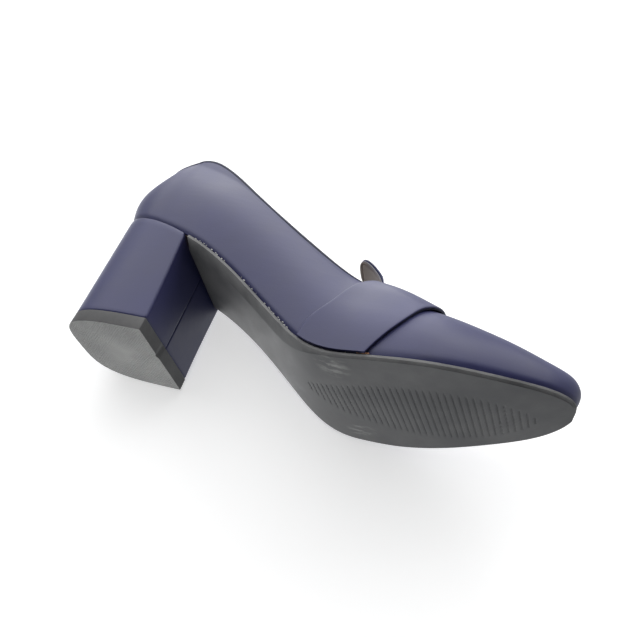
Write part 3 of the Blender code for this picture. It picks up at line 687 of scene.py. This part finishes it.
def heel_outline(share, inset, corner=1.1):
    """Closed plan ring of the heel: a rounded corner, the back, a corner, then the flat breast."""
    seat_turn = toe_turn(BREAST + BREAST_LEAN)
    widening = share ** 1.5
    half = LIFT_HALF_WIDTH + (0.6 + float(medial_width(seat_turn)) - LIFT_HALF_WIDTH) * widening
    half_lateral = LIFT_HALF_WIDTH + (float(lateral_width(seat_turn)) - LIFT_HALF_WIDTH) * widening
    power = LIFT_POWER + (BACK_POWER + 0.2 - LIFT_POWER) * share
    back = HEEL_BACK + (BACK_START - HEEL_BACK) * share
    breast = BREAST + BREAST_LEAN * share - inset
    depth = breast - back - inset
    # the back's curve starts where it is one corner radius behind the breast
    first = math.asin((corner / depth) ** (power / 2))
    t = np.linspace(0, 1, BACK_STEPS)
    angle = first + (math.pi - 2 * first) * (t - np.sin(4 * math.pi * t) / (8 * math.pi))
    reach = np.where(np.cos(angle) > 0, half, half_lateral) - inset
    x = -np.sign(np.cos(angle)) * np.abs(np.cos(angle)) ** (2 / power) * reach
    curve = np.stack([x, breast - depth * np.sin(angle) ** (2 / power)], axis=-1)
    arc = np.linspace(0, QUARTER_TURN, CORNER_STEPS + 1)[1:]
    first_arc = np.stack([x[0] + corner * (1 - np.cos(arc)), breast - corner + corner * np.sin(arc)], -1)
    last_arc = np.stack([x[-1] - corner * (1 - np.cos(arc)), breast - corner + corner * np.sin(arc)], -1)
    face_x = np.linspace(last_arc[-1, 0], first_arc[-1, 0], BREAST_STEPS + 2)[1:-1]
    face = np.stack([face_x, np.full(BREAST_STEPS, breast)], axis=-1)
    ring = np.concatenate([first_arc[::-1], curve, last_arc, face])
    arm = ring[:, 1] - (BREAST + BREAST_LEAN * share - (breast + inset - back) / 2)
    turned_x = ring[:, 0] * math.cos(HEEL_YAW) + arm * math.sin(HEEL_YAW)
    turned_station = ring[:, 1] + ring[:, 0] * math.sin(HEEL_YAW) - arm * (1 - math.cos(HEEL_YAW))
    return np.stack([turned_x, turned_station], axis=-1)


def heel_height(station):
    return bed(np.maximum(station, -3.0)) - GAP


SEAM_STEP = 0.15          # how far the cover's lapped half stands forward
SEAM_DEPTH = 0.35
SEAM_WIDTH = 0.35


def build_heel():
    floor = LIFT_THICK + 0.08
    shares = np.concatenate([[0.0, 0.006, 0.016], np.linspace(0.04, 0.97, 26), [0.99, 1.0]])
    tucks = np.interp(shares, [0, 0.006, 0.016, 0.97, 1.0], [0.45, 0.15, 0.0, 0.0, 0.35])
    rows = []
    for share, tuck in zip(shares, tucks):
        ring = heel_outline(share, tuck)
        seam_x = -1.0 + 2.5 * share
        centre = abs(ring[:, 0] - seam_x)
        on_breast = np.arange(len(ring)) > BACK_STEPS + 2 * CORNER_STEPS
        groove = np.exp(-(centre / SEAM_WIDTH) ** 2) * SEAM_DEPTH * on_breast
        beside = seam_x - ring[:, 0]
        lap = SEAM_STEP * smoothstep(0.1, 0.9, beside) * smoothstep(14, 3, beside)
        ring[:, 1] += (lap * on_breast) * 0.5 - groove
        z = floor + (heel_height(ring[:, 1]) - floor) * share
        rows.append(np.concatenate([ring, z[:, None]], axis=1))
    inner = []
    for share in shares[::-1]:
        ring = heel_outline(share, COVER_THICK)
        z = floor + 0.02 + (heel_height(ring[:, 1]) - floor - 0.04) * share
        inner.append(np.concatenate([ring, z[:, None]], axis=1))
    piece = tube_shell("heel_wrap", np.array(rows + inner), MATS["navy"])
    adopt(piece, "shoe", "navy_leather", "heel_cover")
    build_top_piece()


def tube_shell(name, grid, mat, smooth_angle=35.0):
    """Skin whose rows are rings that run out and back in, so the last joins the first."""
    rows, count = grid.shape[:2]
    verts = place(grid).reshape(-1, 3)
    faces = []
    for i in range(rows):
        n = (i + 1) % rows
        for j in range(count):
            k = (j + 1) % count
            faces.append((i * count + j, i * count + k, n * count + k, n * count + j))
    return finish_mesh(name, verts, faces, mat, smooth_angle)


RIB_PITCH = 1.0
RIB_HEIGHT = 0.28
RIB_ANGLE = math.atan2(0.64, -0.77)


def rib_height(x, station):
    """Height of the top piece's pressed ribs, worn smooth in the middle."""
    across = (-x * math.sin(RIB_ANGLE) + station * math.cos(RIB_ANGLE)) / RIB_PITCH
    wave = 0.5 + 0.5 * np.cos(2 * math.pi * across)
    worn = np.exp(-(((x - 2) / 13) ** 2 + ((station - 25) / 11) ** 2))
    return RIB_HEIGHT * wave * (1 - 0.8 * worn)


def build_top_piece():
    """Rubber lift: a D in plan, with a ribbed wearing face and a small notch from its mould."""
    outer = heel_outline(0.0, 0.0, 0.5)
    notch_at = np.array([-4.0, BREAST - 0.4])
    rings = []
    for inset, z in ((0.55, 0.0), (0.12, 0.12), (0.0, 0.45), (0.0, LIFT_THICK - 0.25),
                     (0.2, LIFT_THICK)):
        ring = offset_ring(outer, inset)
        near = np.exp(-(((ring - notch_at) ** 2).sum(1)) / 1.6 ** 2)
        ring = ring.copy()
        ring[:, 1] -= 0.9 * near * (1 if z < 3 else 0)
        rings.append(np.concatenate([ring, np.full((len(ring), 1), z)], axis=1))
    bm = bmesh.new()
    loops = [[bm.verts.new(p) for p in place(ring)] for ring in rings]
    count = len(outer)
    for low, high in zip(loops, loops[1:]):
        for i in range(count):
            j = (i + 1) % count
            bm.faces.new((low[i], low[j], high[j], high[i]))
    bm.faces.new(loops[-1][::-1])
    face = bm.faces.new(loops[0])
    bmesh.ops.triangulate(bm, faces=[face])
    slice_face(bm)
    for vert in bm.verts:
        if abs(vert.co.z) < 1e-7:
            on_edge = any(abs(face.normal.z) < 0.5 for face in vert.link_faces)
            if not on_edge:
                vert.co.z = (RIB_HEIGHT - float(rib_height(*unplace(vert.co)))) * MM
    # painted light: the wearing face takes the second, paler rubber, standing in for the light it gets
    # from below
    for made in bm.faces:
        made.material_index = int(max(vert.co.z for vert in made.verts) < 0.4 * MM)
    piece = finish_bmesh("lift_rubber", bm, MATS["lift"])
    piece.data.materials.append(MATS["lift_face_painted_light"])
    adopt(piece, "shoe", "lift_rubber", "top_piece")


def slice_face(bm):
    """Cuts the flat face into strips along the ribs, four to a rib."""
    normal = Vector((math.sin(RIB_ANGLE), math.cos(RIB_ANGLE), 0))
    centre = Vector(place([0, 24, 0]))
    step = RIB_PITCH * MM / 4
    for index in range(-220, 221):
        alive_faces = [f for f in bm.faces if abs(f.calc_center_median().z) < 1e-7]
        geom = alive_faces + list({e for f in alive_faces for e in f.edges}) + list(
            {v for f in alive_faces for v in f.verts})
        bmesh.ops.bisect_plane(bm, geom=geom, dist=1e-8, plane_co=centre + normal * step * index,
                               plane_no=normal)


def offset_ring(ring, inset):
    """Closed ring moved inward by inset along its own normals."""
    ahead = np.roll(ring, -1, axis=0) - np.roll(ring, 1, axis=0)
    ahead = ahead / np.linalg.norm(ahead, axis=1, keepdims=True)
    normal = np.stack([-ahead[:, 1], ahead[:, 0]], axis=-1)
    area = np.sum(ring[:, 0] * np.roll(ring[:, 1], -1) - ring[:, 1] * np.roll(ring[:, 0], -1))
    return ring + normal * inset * (1 if area > 0 else -1)


# ---- inside ----
SOCK_TOP = 7.6            # above the bed
SOCK_THICK = 0.7
SOCK_INSET = 3.5
SOCK_CUP = 0.8            # how far its rim turns up


def build_sock():
    """Sock lining over its cushion: fills the bed inside the lining, with a slightly cupped rim."""
    ways = np.concatenate([-1 + np.linspace(0.04, 1, 26), np.linspace(0, 1, 70)[1:],
                           1 + np.linspace(0, 0.9, 24)[1:]])
    spread = np.linspace(-1, 1, 41)
    rows_over = []
    rows_under = []
    for way in ways:
        x_medial, station = feather(-1, way, SOCK_INSET)
        x_lateral = feather(1, way, SOCK_INSET)[0]
        mid = (x_medial + x_lateral) / 2
        half = (x_lateral - x_medial) / 2
        x = mid + spread * half
        cup = SOCK_CUP * np.abs(spread) ** 4
        z = bed(station) + SOCK_TOP + cup
        rows_over.append(np.stack([x, np.full(len(x), float(station)), z], axis=-1))
        rows_under.append(np.stack([x, np.full(len(x), float(station)), z - SOCK_THICK], axis=-1))
    loops = np.concatenate([np.array(rows_over), np.array(rows_under)[:, ::-1]], axis=1)
    piece = loop_shell("sock_leather", loops, MATS["sock"])
    adopt(piece, "shoe", "sock_leather", "sock_lining")


# ---- topline edge and glue ----
BINDING_RADIUS = 0.85


def build_binding():
    """Folded edge of leather along the topline, round the back from one strap foot to the other."""
    side_ways = quarter_ways(70, 120)
    lines = []
    for side in (-1, 1):
        station = feather(side, side_ways)[1]
        base = bed(station)
        rise = (topline(side, station) - 0.9 - base) / (crown(side_ways, station) - base)
        lines.append(last_point(side, side_ways, rise, LEATHER_DEPTH / 2))
    path = np.concatenate([lines[0][::-1], lines[1][1:]])
    ahead = np.gradient(path, axis=0)
    ahead /= np.linalg.norm(ahead, axis=1, keepdims=True)
    out = np.cross(ahead, (0, 0, 1.0))
    out /= np.linalg.norm(out, axis=1, keepdims=True)
    over = np.cross(out, ahead)
    turns = np.linspace(0, 2 * math.pi, 12, endpoint=False)[None, :, None]
    rings = path[:, None] + (out[:, None] * np.cos(turns) + over[:, None] * np.sin(turns)) * BINDING_RADIUS
    piece = loop_shell("topline_binding", rings, MATS["navy_back"], pairs=False)
    adopt(piece, "shoe", "navy_leather")


def build_glue():
    """Flecks of cement along the joint between the upper and the sole."""
    rng = np.random.default_rng(7)
    bm = bmesh.new()
    for low, high, count in ((50, 72, 20), (76, 92, 6), (96, 112, 18), (118, 150, 2)):
        for _ in range(count):
            station = rng.uniform(low, high)
            way = float(way_at(station))
            spot = last_point(-1, way, 0.0, TUCK * 0.35)
            lift = rng.uniform(-0.15, 0.35)
            middle = Vector(place(spot + np.array([-0.35, 0, lift])))
            size = rng.uniform(0.10, 0.24)
            long = rng.uniform(1.0, 3.2)
            slope = float(bed(station + 1) - bed(station))
            axis = Vector((0, -1, slope)).normalized()
            blob(bm, middle, axis, size * MM, long, rng)
    piece = finish_bmesh("cement_flecks", bm, MATS["glue"], 80)
    adopt(piece, "shoe", "filler")
    bm = bmesh.new()
    for station in np.linspace(143.5, 147.5, 6):
        way = float(way_at(station))
        spot = last_point(-1, way, 0.0, TUCK * 0.3)
        middle = Vector(place(spot + np.array([-0.3, 0, rng.uniform(0.0, 0.3)])))
        blob(bm, middle, Vector((0, -1, 0)), 0.32 * MM, rng.uniform(1.5, 2.6), rng)
    piece = finish_bmesh("cement_mark_at_strap", bm, MATS["glue_orange"], 80)
    adopt(piece, "shoe", "filler")


def blob(bm, middle, axis, size, long, rng):
    """Small lumpy bead, stretched along axis."""
    turn = axis.to_track_quat("Z", "Y").to_matrix().to_4x4()
    made = bmesh.ops.create_icosphere(bm, subdivisions=2, radius=size)
    wobble = rng.uniform(0.75, 1.25, 3)
    for vert in made["verts"]:
        local = Vector((vert.co.x * wobble[0], vert.co.y * wobble[1], vert.co.z * long))
        vert.co = middle + (turn @ local)


# ---- materials ----
def new_material(name):
    mat = bpy.data.materials.new(name)
    mat.use_nodes = True
    tree = mat.node_tree
    shader = tree.nodes["Principled BSDF"]
    return mat, tree, shader


def add_node(tree, kind, values=None, links=None, **settings):
    """Node with its input values, the sockets that feed its inputs, and its settings."""
    made = tree.nodes.new(kind)
    for name, value in settings.items():
        setattr(made, name, value)
    for slot, value in (values or {}).items():
        made.inputs[slot].default_value = value
    for slot, source in (links or {}).items():
        tree.links.new(source, made.inputs[slot])
    return made


def noise(tree, scale, detail, roughness, coords):
    values = {"Scale": scale, "Detail": detail, "Roughness": roughness}
    return add_node(tree, "ShaderNodeTexNoise", values, {"Vector": coords}).outputs["Fac"]


def ramp(tree, source, stops):
    made = tree.nodes.new("ShaderNodeValToRGB")
    tree.links.new(source, made.inputs["Fac"])
    elements = made.color_ramp.elements
    while len(elements) < len(stops):
        elements.new(0.5)
    for element, (position, colour) in zip(elements, stops):
        element.position = position
        element.color = (*colour, 1.0)
    return made.outputs["Color"]


def spread_range(tree, source, low, high, start=0.3, end=0.7):
    values = {"From Min": start, "From Max": end, "To Min": low, "To Max": high}
    return add_node(tree, "ShaderNodeMapRange", values, {"Value": source}).outputs["Result"]


def multiply(tree, first, second):
    links = {0: first, 1: second}
    return add_node(tree, "ShaderNodeMath", links=links, operation="MULTIPLY").outputs["Value"]


def bump(tree, shader, layers):
    """Chains bump layers, each (height socket, strength, distance in metres)."""
    normal = None
    for height, strength, distance in layers:
        links = {"Height": height}
        if normal is not None:
            links["Normal"] = normal
        values = {"Strength": strength, "Distance": distance}
        normal = add_node(tree, "ShaderNodeBump", values, links).outputs["Normal"]
    tree.links.new(normal, shader.inputs["Normal"])


def object_coords(tree, stretch=(1, 1, 1)):
    source = add_node(tree, "ShaderNodeTexCoord").outputs["Object"]
    return add_node(tree, "ShaderNodeMapping", {"Scale": stretch}, {"Vector": source}).outputs["Vector"]


def pebbles(tree, scale, coords):
    made = add_node(tree, "ShaderNodeTexVoronoi", {"Scale": scale}, {"Vector": coords},
                    feature="DISTANCE_TO_EDGE")
    return made.outputs["Distance"]


def leather(name, colour, roughness, grain=1.0, variation=0.12):
    """Smooth finished leather: fine pebbled grain, faint clouding and light scuffs."""
    mat, tree, shader = new_material(name)
    coords = object_coords(tree)
    cloud = noise(tree, 38, 5, 0.6, coords)
    dark = tuple(c * (1 - variation) for c in colour)
    light = tuple(min(c * (1 + variation) + 0.002, 1) for c in colour)
    base = ramp(tree, cloud, [(0.3, dark), (0.5, colour), (0.72, light)])
    tree.links.new(base, shader.inputs["Base Color"])
    fine = noise(tree, 1500, 3, 0.5, coords)
    pebble = pebbles(tree, 1250, coords)
    crease = noise(tree, 170, 4, 0.5, object_coords(tree, (1, 0.35, 1)))
    rough = spread_range(tree, cloud, roughness - 0.05, roughness + 0.06)
    tree.links.new(rough, shader.inputs["Roughness"])
    bump(tree, shader, [(crease, 0.12 * grain, 0.0006), (pebble, 0.16 * grain, 0.00008),
                        (fine, 0.18 * grain, 0.00005)])
    return mat


def near_point(tree, coords, centre, radius):
    """1 at a place on the shoe (x, station, z in millimetres), fading to 0 at radius."""
    spot = tuple(float(v) for v in place(centre))
    away = add_node(tree, "ShaderNodeVectorMath", {1: spot}, {0: coords}, operation="DISTANCE")
    return spread_range(tree, away.outputs["Value"], 1.0, 0.0, 0.0, radius * MM)


def mix_colour(tree, share, first, second):
    links = {"Factor": share, "A": first}
    made = add_node(tree, "ShaderNodeMix", {"B": (*second, 1.0)}, links, data_type="RGBA")
    return made.outputs["Result"]


SCUFF_SPOTS = [((-23, 133, 3), 9), ((30, 141, 1), 8)]    # (x, station, z) and radius
SCUFF_COLOUR = (0.30, 0.30, 0.29)
# paler colour painted along the outsole's outer corners as a highlight
EDGE_HIGHLIGHT_COLOUR = (0.22, 0.22, 0.22)


def rubber(name, colour, light, roughness, scuff, scuffs_and_edge_highlights=False):
    """Moulded rubber: fine sand texture, dusty scuffs and pale patches; optionally scratched scuff spots
    and a painted highlight along the outer corners.
    """
    mat, tree, shader = new_material(name)
    coords = object_coords(tree)
    dust = noise(tree, 55, 6, 0.65, coords)
    patch = noise(tree, 21, 3, 0.5, coords)
    mixed = multiply(tree, dust, patch)
    middle = tuple((a + b) / 2 for a, b in zip(colour, light))
    base = ramp(tree, mixed, [(0.16, colour), (0.30, middle), (0.30 + 0.25 / scuff, light)])
    if scuffs_and_edge_highlights:
        streaks = noise(tree, 420, 5, 0.7, object_coords(tree, (1, 0.25, 1)))
        scratch = spread_range(tree, streaks, 0, 1, 0.5, 0.62)
        for centre, radius in SCUFF_SPOTS:
            spot = multiply(tree, near_point(tree, coords, centre, radius), scratch)
            base = mix_colour(tree, spot, base, SCUFF_COLOUR)
        # painted highlight: the paler colour along the outer corners, where the rounded edges catch light
        edge_highlight = add_node(tree, "ShaderNodeAttribute", attribute_name="edge_highlight")
        edge_highlight_share = multiply(tree, edge_highlight.outputs["Fac"], spread_range(tree, dust, 0.15, 0.75))
        base = mix_colour(tree, edge_highlight_share, base, EDGE_HIGHLIGHT_COLOUR)
    tree.links.new(base, shader.inputs["Base Color"])
    fine = noise(tree, 2600, 3, 0.6, coords)
    rough = spread_range(tree, dust, roughness - 0.08, roughness + 0.1)
    tree.links.new(rough, shader.inputs["Roughness"])
    bump(tree, shader, [(fine, 0.25, 0.00006), (dust, 0.1, 0.0002)])
    return mat


def fibre(name, colour, dark, scale, roughness=0.9):
    """Pressed fibre, felt, cork or foam: fine flecks and a soft matt face."""
    mat, tree, shader = new_material(name)
    coords = object_coords(tree)
    fleck = noise(tree, scale, 6, 0.7, coords)
    base = ramp(tree, fleck, [(0.36, dark), (0.6, colour)])
    tree.links.new(base, shader.inputs["Base Color"])
    shader.inputs["Roughness"].default_value = roughness
    bump(tree, shader, [(fleck, 0.35, 0.0002)])
    return mat


def plain(name, colour, roughness, metallic=0.0, scale=900, strength=0.12):
    """Moulded plastic, glue or steel: one colour with fine unevenness."""
    mat, tree, shader = new_material(name)
    coords = object_coords(tree)
    fine = noise(tree, scale, 4, 0.6, coords)
    base = ramp(tree, fine, [(0.3, tuple(c * 0.88 for c in colour)), (0.7, colour)])
    tree.links.new(base, shader.inputs["Base Color"])
    rough = spread_range(tree, fine, roughness - 0.05, roughness + 0.07)
    tree.links.new(rough, shader.inputs["Roughness"])
    shader.inputs["Metallic"].default_value = metallic
    bump(tree, shader, [(fine, strength, 0.0001)])
    return mat


def make_materials():
    return {
        "navy": leather("navy_leather_finish", (0.027, 0.029, 0.098), 0.42),
        "navy_back": leather("navy_backing_finish", (0.022, 0.023, 0.050), 0.7, 1.3),
        "lining": leather("lining_finish", (0.50, 0.40, 0.29), 0.62, 1.2, 0.08),
        "sock": leather("sock_finish", (0.52, 0.42, 0.31), 0.55, 1.2, 0.08),
        "rubber": rubber("outsole_finish", (0.058, 0.059, 0.062), (0.14, 0.14, 0.14), 0.62, 1.0, True),
        "lift": rubber("lift_finish", (0.06, 0.06, 0.062), (0.15, 0.15, 0.15), 0.6, 1.4),
        # painted light: a paler copy of the lift rubber for its downward wearing face
        "lift_face_painted_light": rubber("lift_face_painted_light_finish", (0.24, 0.24, 0.235), (0.40, 0.40, 0.39), 0.6, 1.4),
        "board": fibre("board_finish", (0.34, 0.25, 0.16), (0.20, 0.14, 0.09), 700),
        "foam": fibre("foam_finish", (0.80, 0.77, 0.66), (0.62, 0.58, 0.48), 1500),
        "cork": fibre("cork_finish", (0.42, 0.28, 0.15), (0.16, 0.10, 0.06), 420),
        "plastic": plain("heel_plastic_finish", (0.10, 0.10, 0.11), 0.45),
        "steel": plain("steel_finish", (0.60, 0.61, 0.63), 0.32, 1.0, 1400, 0.08),
        "tongue_lining": leather("tongue_lining_finish", (0.27, 0.27, 0.31), 0.6, 1.1, 0.08),
        "glue": plain("cement_finish", (0.5, 0.5, 0.49), 0.45),
        "glue_orange": plain("cement_mark_finish", (0.62, 0.30, 0.16), 0.5),
    }


def adopt(piece, body, slot, *nodes):
    """Rides a piece on its body and hides the CAD nodes it stands for; the slot argument is not used."""
    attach(piece, body)
    if nodes:
        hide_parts(*nodes)


def dress_hidden_nodes():
    """Materials for the inner parts whose CAD shape stays."""
    finishes = {"toe_puff": "board", "heel_counter": "board", "shank_board": "board",
                "insole_board": "board", "bottom_filler": "cork", "sock_cushion": "foam",
                "steel_shank": "steel", "heel_block": "plastic"}
    for name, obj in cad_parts.items():
        finish = finishes.get(name)
        if name.startswith(("heel_nail", "heel_screw", "shank_rivet", "top_piece_pin")):
            finish = "steel"
        if finish:
            obj.data.materials.clear()
            obj.data.materials.append(MATS[finish])


# ---- stage ----
FLOOR_SHADE = 0.7
FLOOR_GLOW = 0.56
FLOOR_SIZE = 6.0
WORLD_BRIGHT = 0.82
WORLD_DIM = 0.25
WORLD_TINT = (0.96, 0.98, 1.0, 1)
BRIGHT_DIRECTION = (0.9, 0.42, 0.1)
LIGHT_AIM = Vector((0, 0, 0.05))
# each light: direction from the shoe, distance and size in metres, power in watts
LIGHTS = {
    "key": ((-0.78, 0.32, 0.53), 1.0, 1.6, 15.5),
    "toe_side": ((-0.40, -0.50, 0.77), 1.1, 0.9, 5),
    "far_side": ((0.70, 0.68, 0.25), 1.0, 1.0, 4),
    "top": ((-0.1, 0.3, 1.0), 1.1, 0.9, 5.5),
    "underside": ((0.15, 0.1, -0.98), 1.1, 1.0, 4),
}


def stage_plane(name, centre, normal):
    """One-sided pale floor that only the camera sees; from behind it is clear."""
    mesh = bpy.data.meshes.new(name)
    half = FLOOR_SIZE / 2
    mesh.from_pydata([(-half, -half, 0), (half, -half, 0), (half, half, 0), (-half, half, 0)], [],
                     [(0, 1, 2, 3)])
    obj = bpy.data.objects.new(name, mesh)
    turn = Vector(normal).to_track_quat("Z", "Y").to_matrix().to_4x4()
    obj.matrix_world = Matrix.Translation(Vector(centre)) @ turn
    bpy.context.scene.collection.objects.link(obj)
    mat = bpy.data.materials.new(name + "_paint")
    mat.use_nodes = True
    tree = mat.node_tree
    tree.nodes.clear()
    paint = {"Base Color": (FLOOR_SHADE, FLOOR_SHADE, FLOOR_SHADE, 1), "Roughness": 1.0,
             "Specular IOR Level": 0.0, "Emission Color": (1, 1, 1, 1),
             "Emission Strength": FLOOR_GLOW}
    face = add_node(tree, "ShaderNodeBsdfPrincipled", paint)
    clear = add_node(tree, "ShaderNodeBsdfTransparent")
    behind = add_node(tree, "ShaderNodeNewGeometry").outputs["Backfacing"]
    mix = add_node(tree, "ShaderNodeMixShader", links={
        "Fac": behind, 1: face.outputs["BSDF"], 2: clear.outputs["BSDF"]})
    add_node(tree, "ShaderNodeOutputMaterial", links={"Surface": mix.outputs["Shader"]})
    mesh.materials.append(mat)
    obj.visible_diffuse = False
    obj.visible_glossy = False
    obj.visible_transmission = False
    obj.visible_shadow = False


def soft_light(name, direction, distance, size, power):
    data = bpy.data.lights.new(name, "AREA")
    data.energy = power
    data.shape = "RECTANGLE"
    data.size = size
    data.size_y = size
    obj = bpy.data.objects.new(name, data)
    obj.location = LIGHT_AIM + Vector(direction).normalized() * distance
    obj.rotation_euler = (LIGHT_AIM - obj.location).to_track_quat("-Z", "Y").to_euler()
    bpy.context.scene.collection.objects.link(obj)
    obj.visible_camera = False


def world_side(tree, direction, start, end, low, high):
    """Strength that goes from low to high as the sky's direction turns towards direction."""
    sky = add_node(tree, "ShaderNodeTexCoord").outputs["Generated"]
    along = add_node(tree, "ShaderNodeVectorMath", {1: tuple(direction)}, {0: sky},
                     operation="DOT_PRODUCT")
    return spread_range(tree, along.outputs["Value"], low, high, start, end)


def view_ahead():
    flat = math.cos(VIEW_RISE)
    return Vector((flat * math.cos(VIEW_TURN), flat * math.sin(VIEW_TURN), math.sin(VIEW_RISE)))


def set_world():
    """White to the camera; a softer even light on the object."""
    world = bpy.data.worlds.new("studio")
    bpy.context.scene.world = world
    world.use_nodes = True
    tree = world.node_tree
    tree.nodes.clear()
    bright = world_side(tree, BRIGHT_DIRECTION, -0.3, 0.6, WORLD_DIM, WORLD_BRIGHT)
    open_side = world_side(tree, -view_ahead(), 0.35, 0.8, 1.0, 0.15)
    strength = multiply(tree, bright, open_side)
    light = add_node(tree, "ShaderNodeBackground", {"Color": WORLD_TINT}, {"Strength": strength})
    seen = add_node(tree, "ShaderNodeBackground", {"Color": (1, 1, 1, 1), "Strength": 1.0})
    by_camera = add_node(tree, "ShaderNodeLightPath").outputs["Is Camera Ray"]
    mix = add_node(tree, "ShaderNodeMixShader", links={
        "Fac": by_camera, 1: light.outputs["Background"], 2: seen.outputs["Background"]})
    add_node(tree, "ShaderNodeOutputWorld", links={"Surface": mix.outputs["Shader"]})


def build_stage():
    """Camera at the viewing angle, the two pale floors, the lights and the world."""
    ahead = view_ahead()
    level = ahead.cross(Vector((0, 0, 1))).normalized()
    right = Matrix.Rotation(-VIEW_ROLL, 3, ahead) @ level
    up = right.cross(ahead)
    stand = VIEW_AIM - ahead * VIEW_DISTANCE
    data = bpy.data.cameras.new("view")
    data.lens = CAMERA_LENS
    data.sensor_width = SENSOR
    data.clip_start = 0.01
    camera = bpy.data.objects.new("view", data)
    camera.matrix_world = Matrix((
        (right.x, up.x, -ahead.x, stand.x),
        (right.y, up.y, -ahead.y, stand.y),
        (right.z, up.z, -ahead.z, stand.z),
        (0, 0, 0, 1)))
    bpy.context.scene.collection.objects.link(camera)
    bpy.context.scene.camera = camera
    reach = max(LAID_NORMAL.dot(vert.co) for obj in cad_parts.values() for vert in obj.data.vertices)
    stage_plane("laid_floor", LAID_NORMAL * (reach + 0.0003), -LAID_NORMAL)
    stage_plane("ground", (0, 0, -0.0004), (0, 0, 1))
    for name, values in LIGHTS.items():
        soft_light(name, *values)
    bpy.context.scene.view_settings.view_transform = "Standard"
    set_world()


MATS = make_materials()
build_quarters()
build_vamp()
build_strap()
build_tongue()
build_outsole()
build_heel()
build_sock()
build_binding()
build_glue()
dress_hidden_nodes()
build_stage()
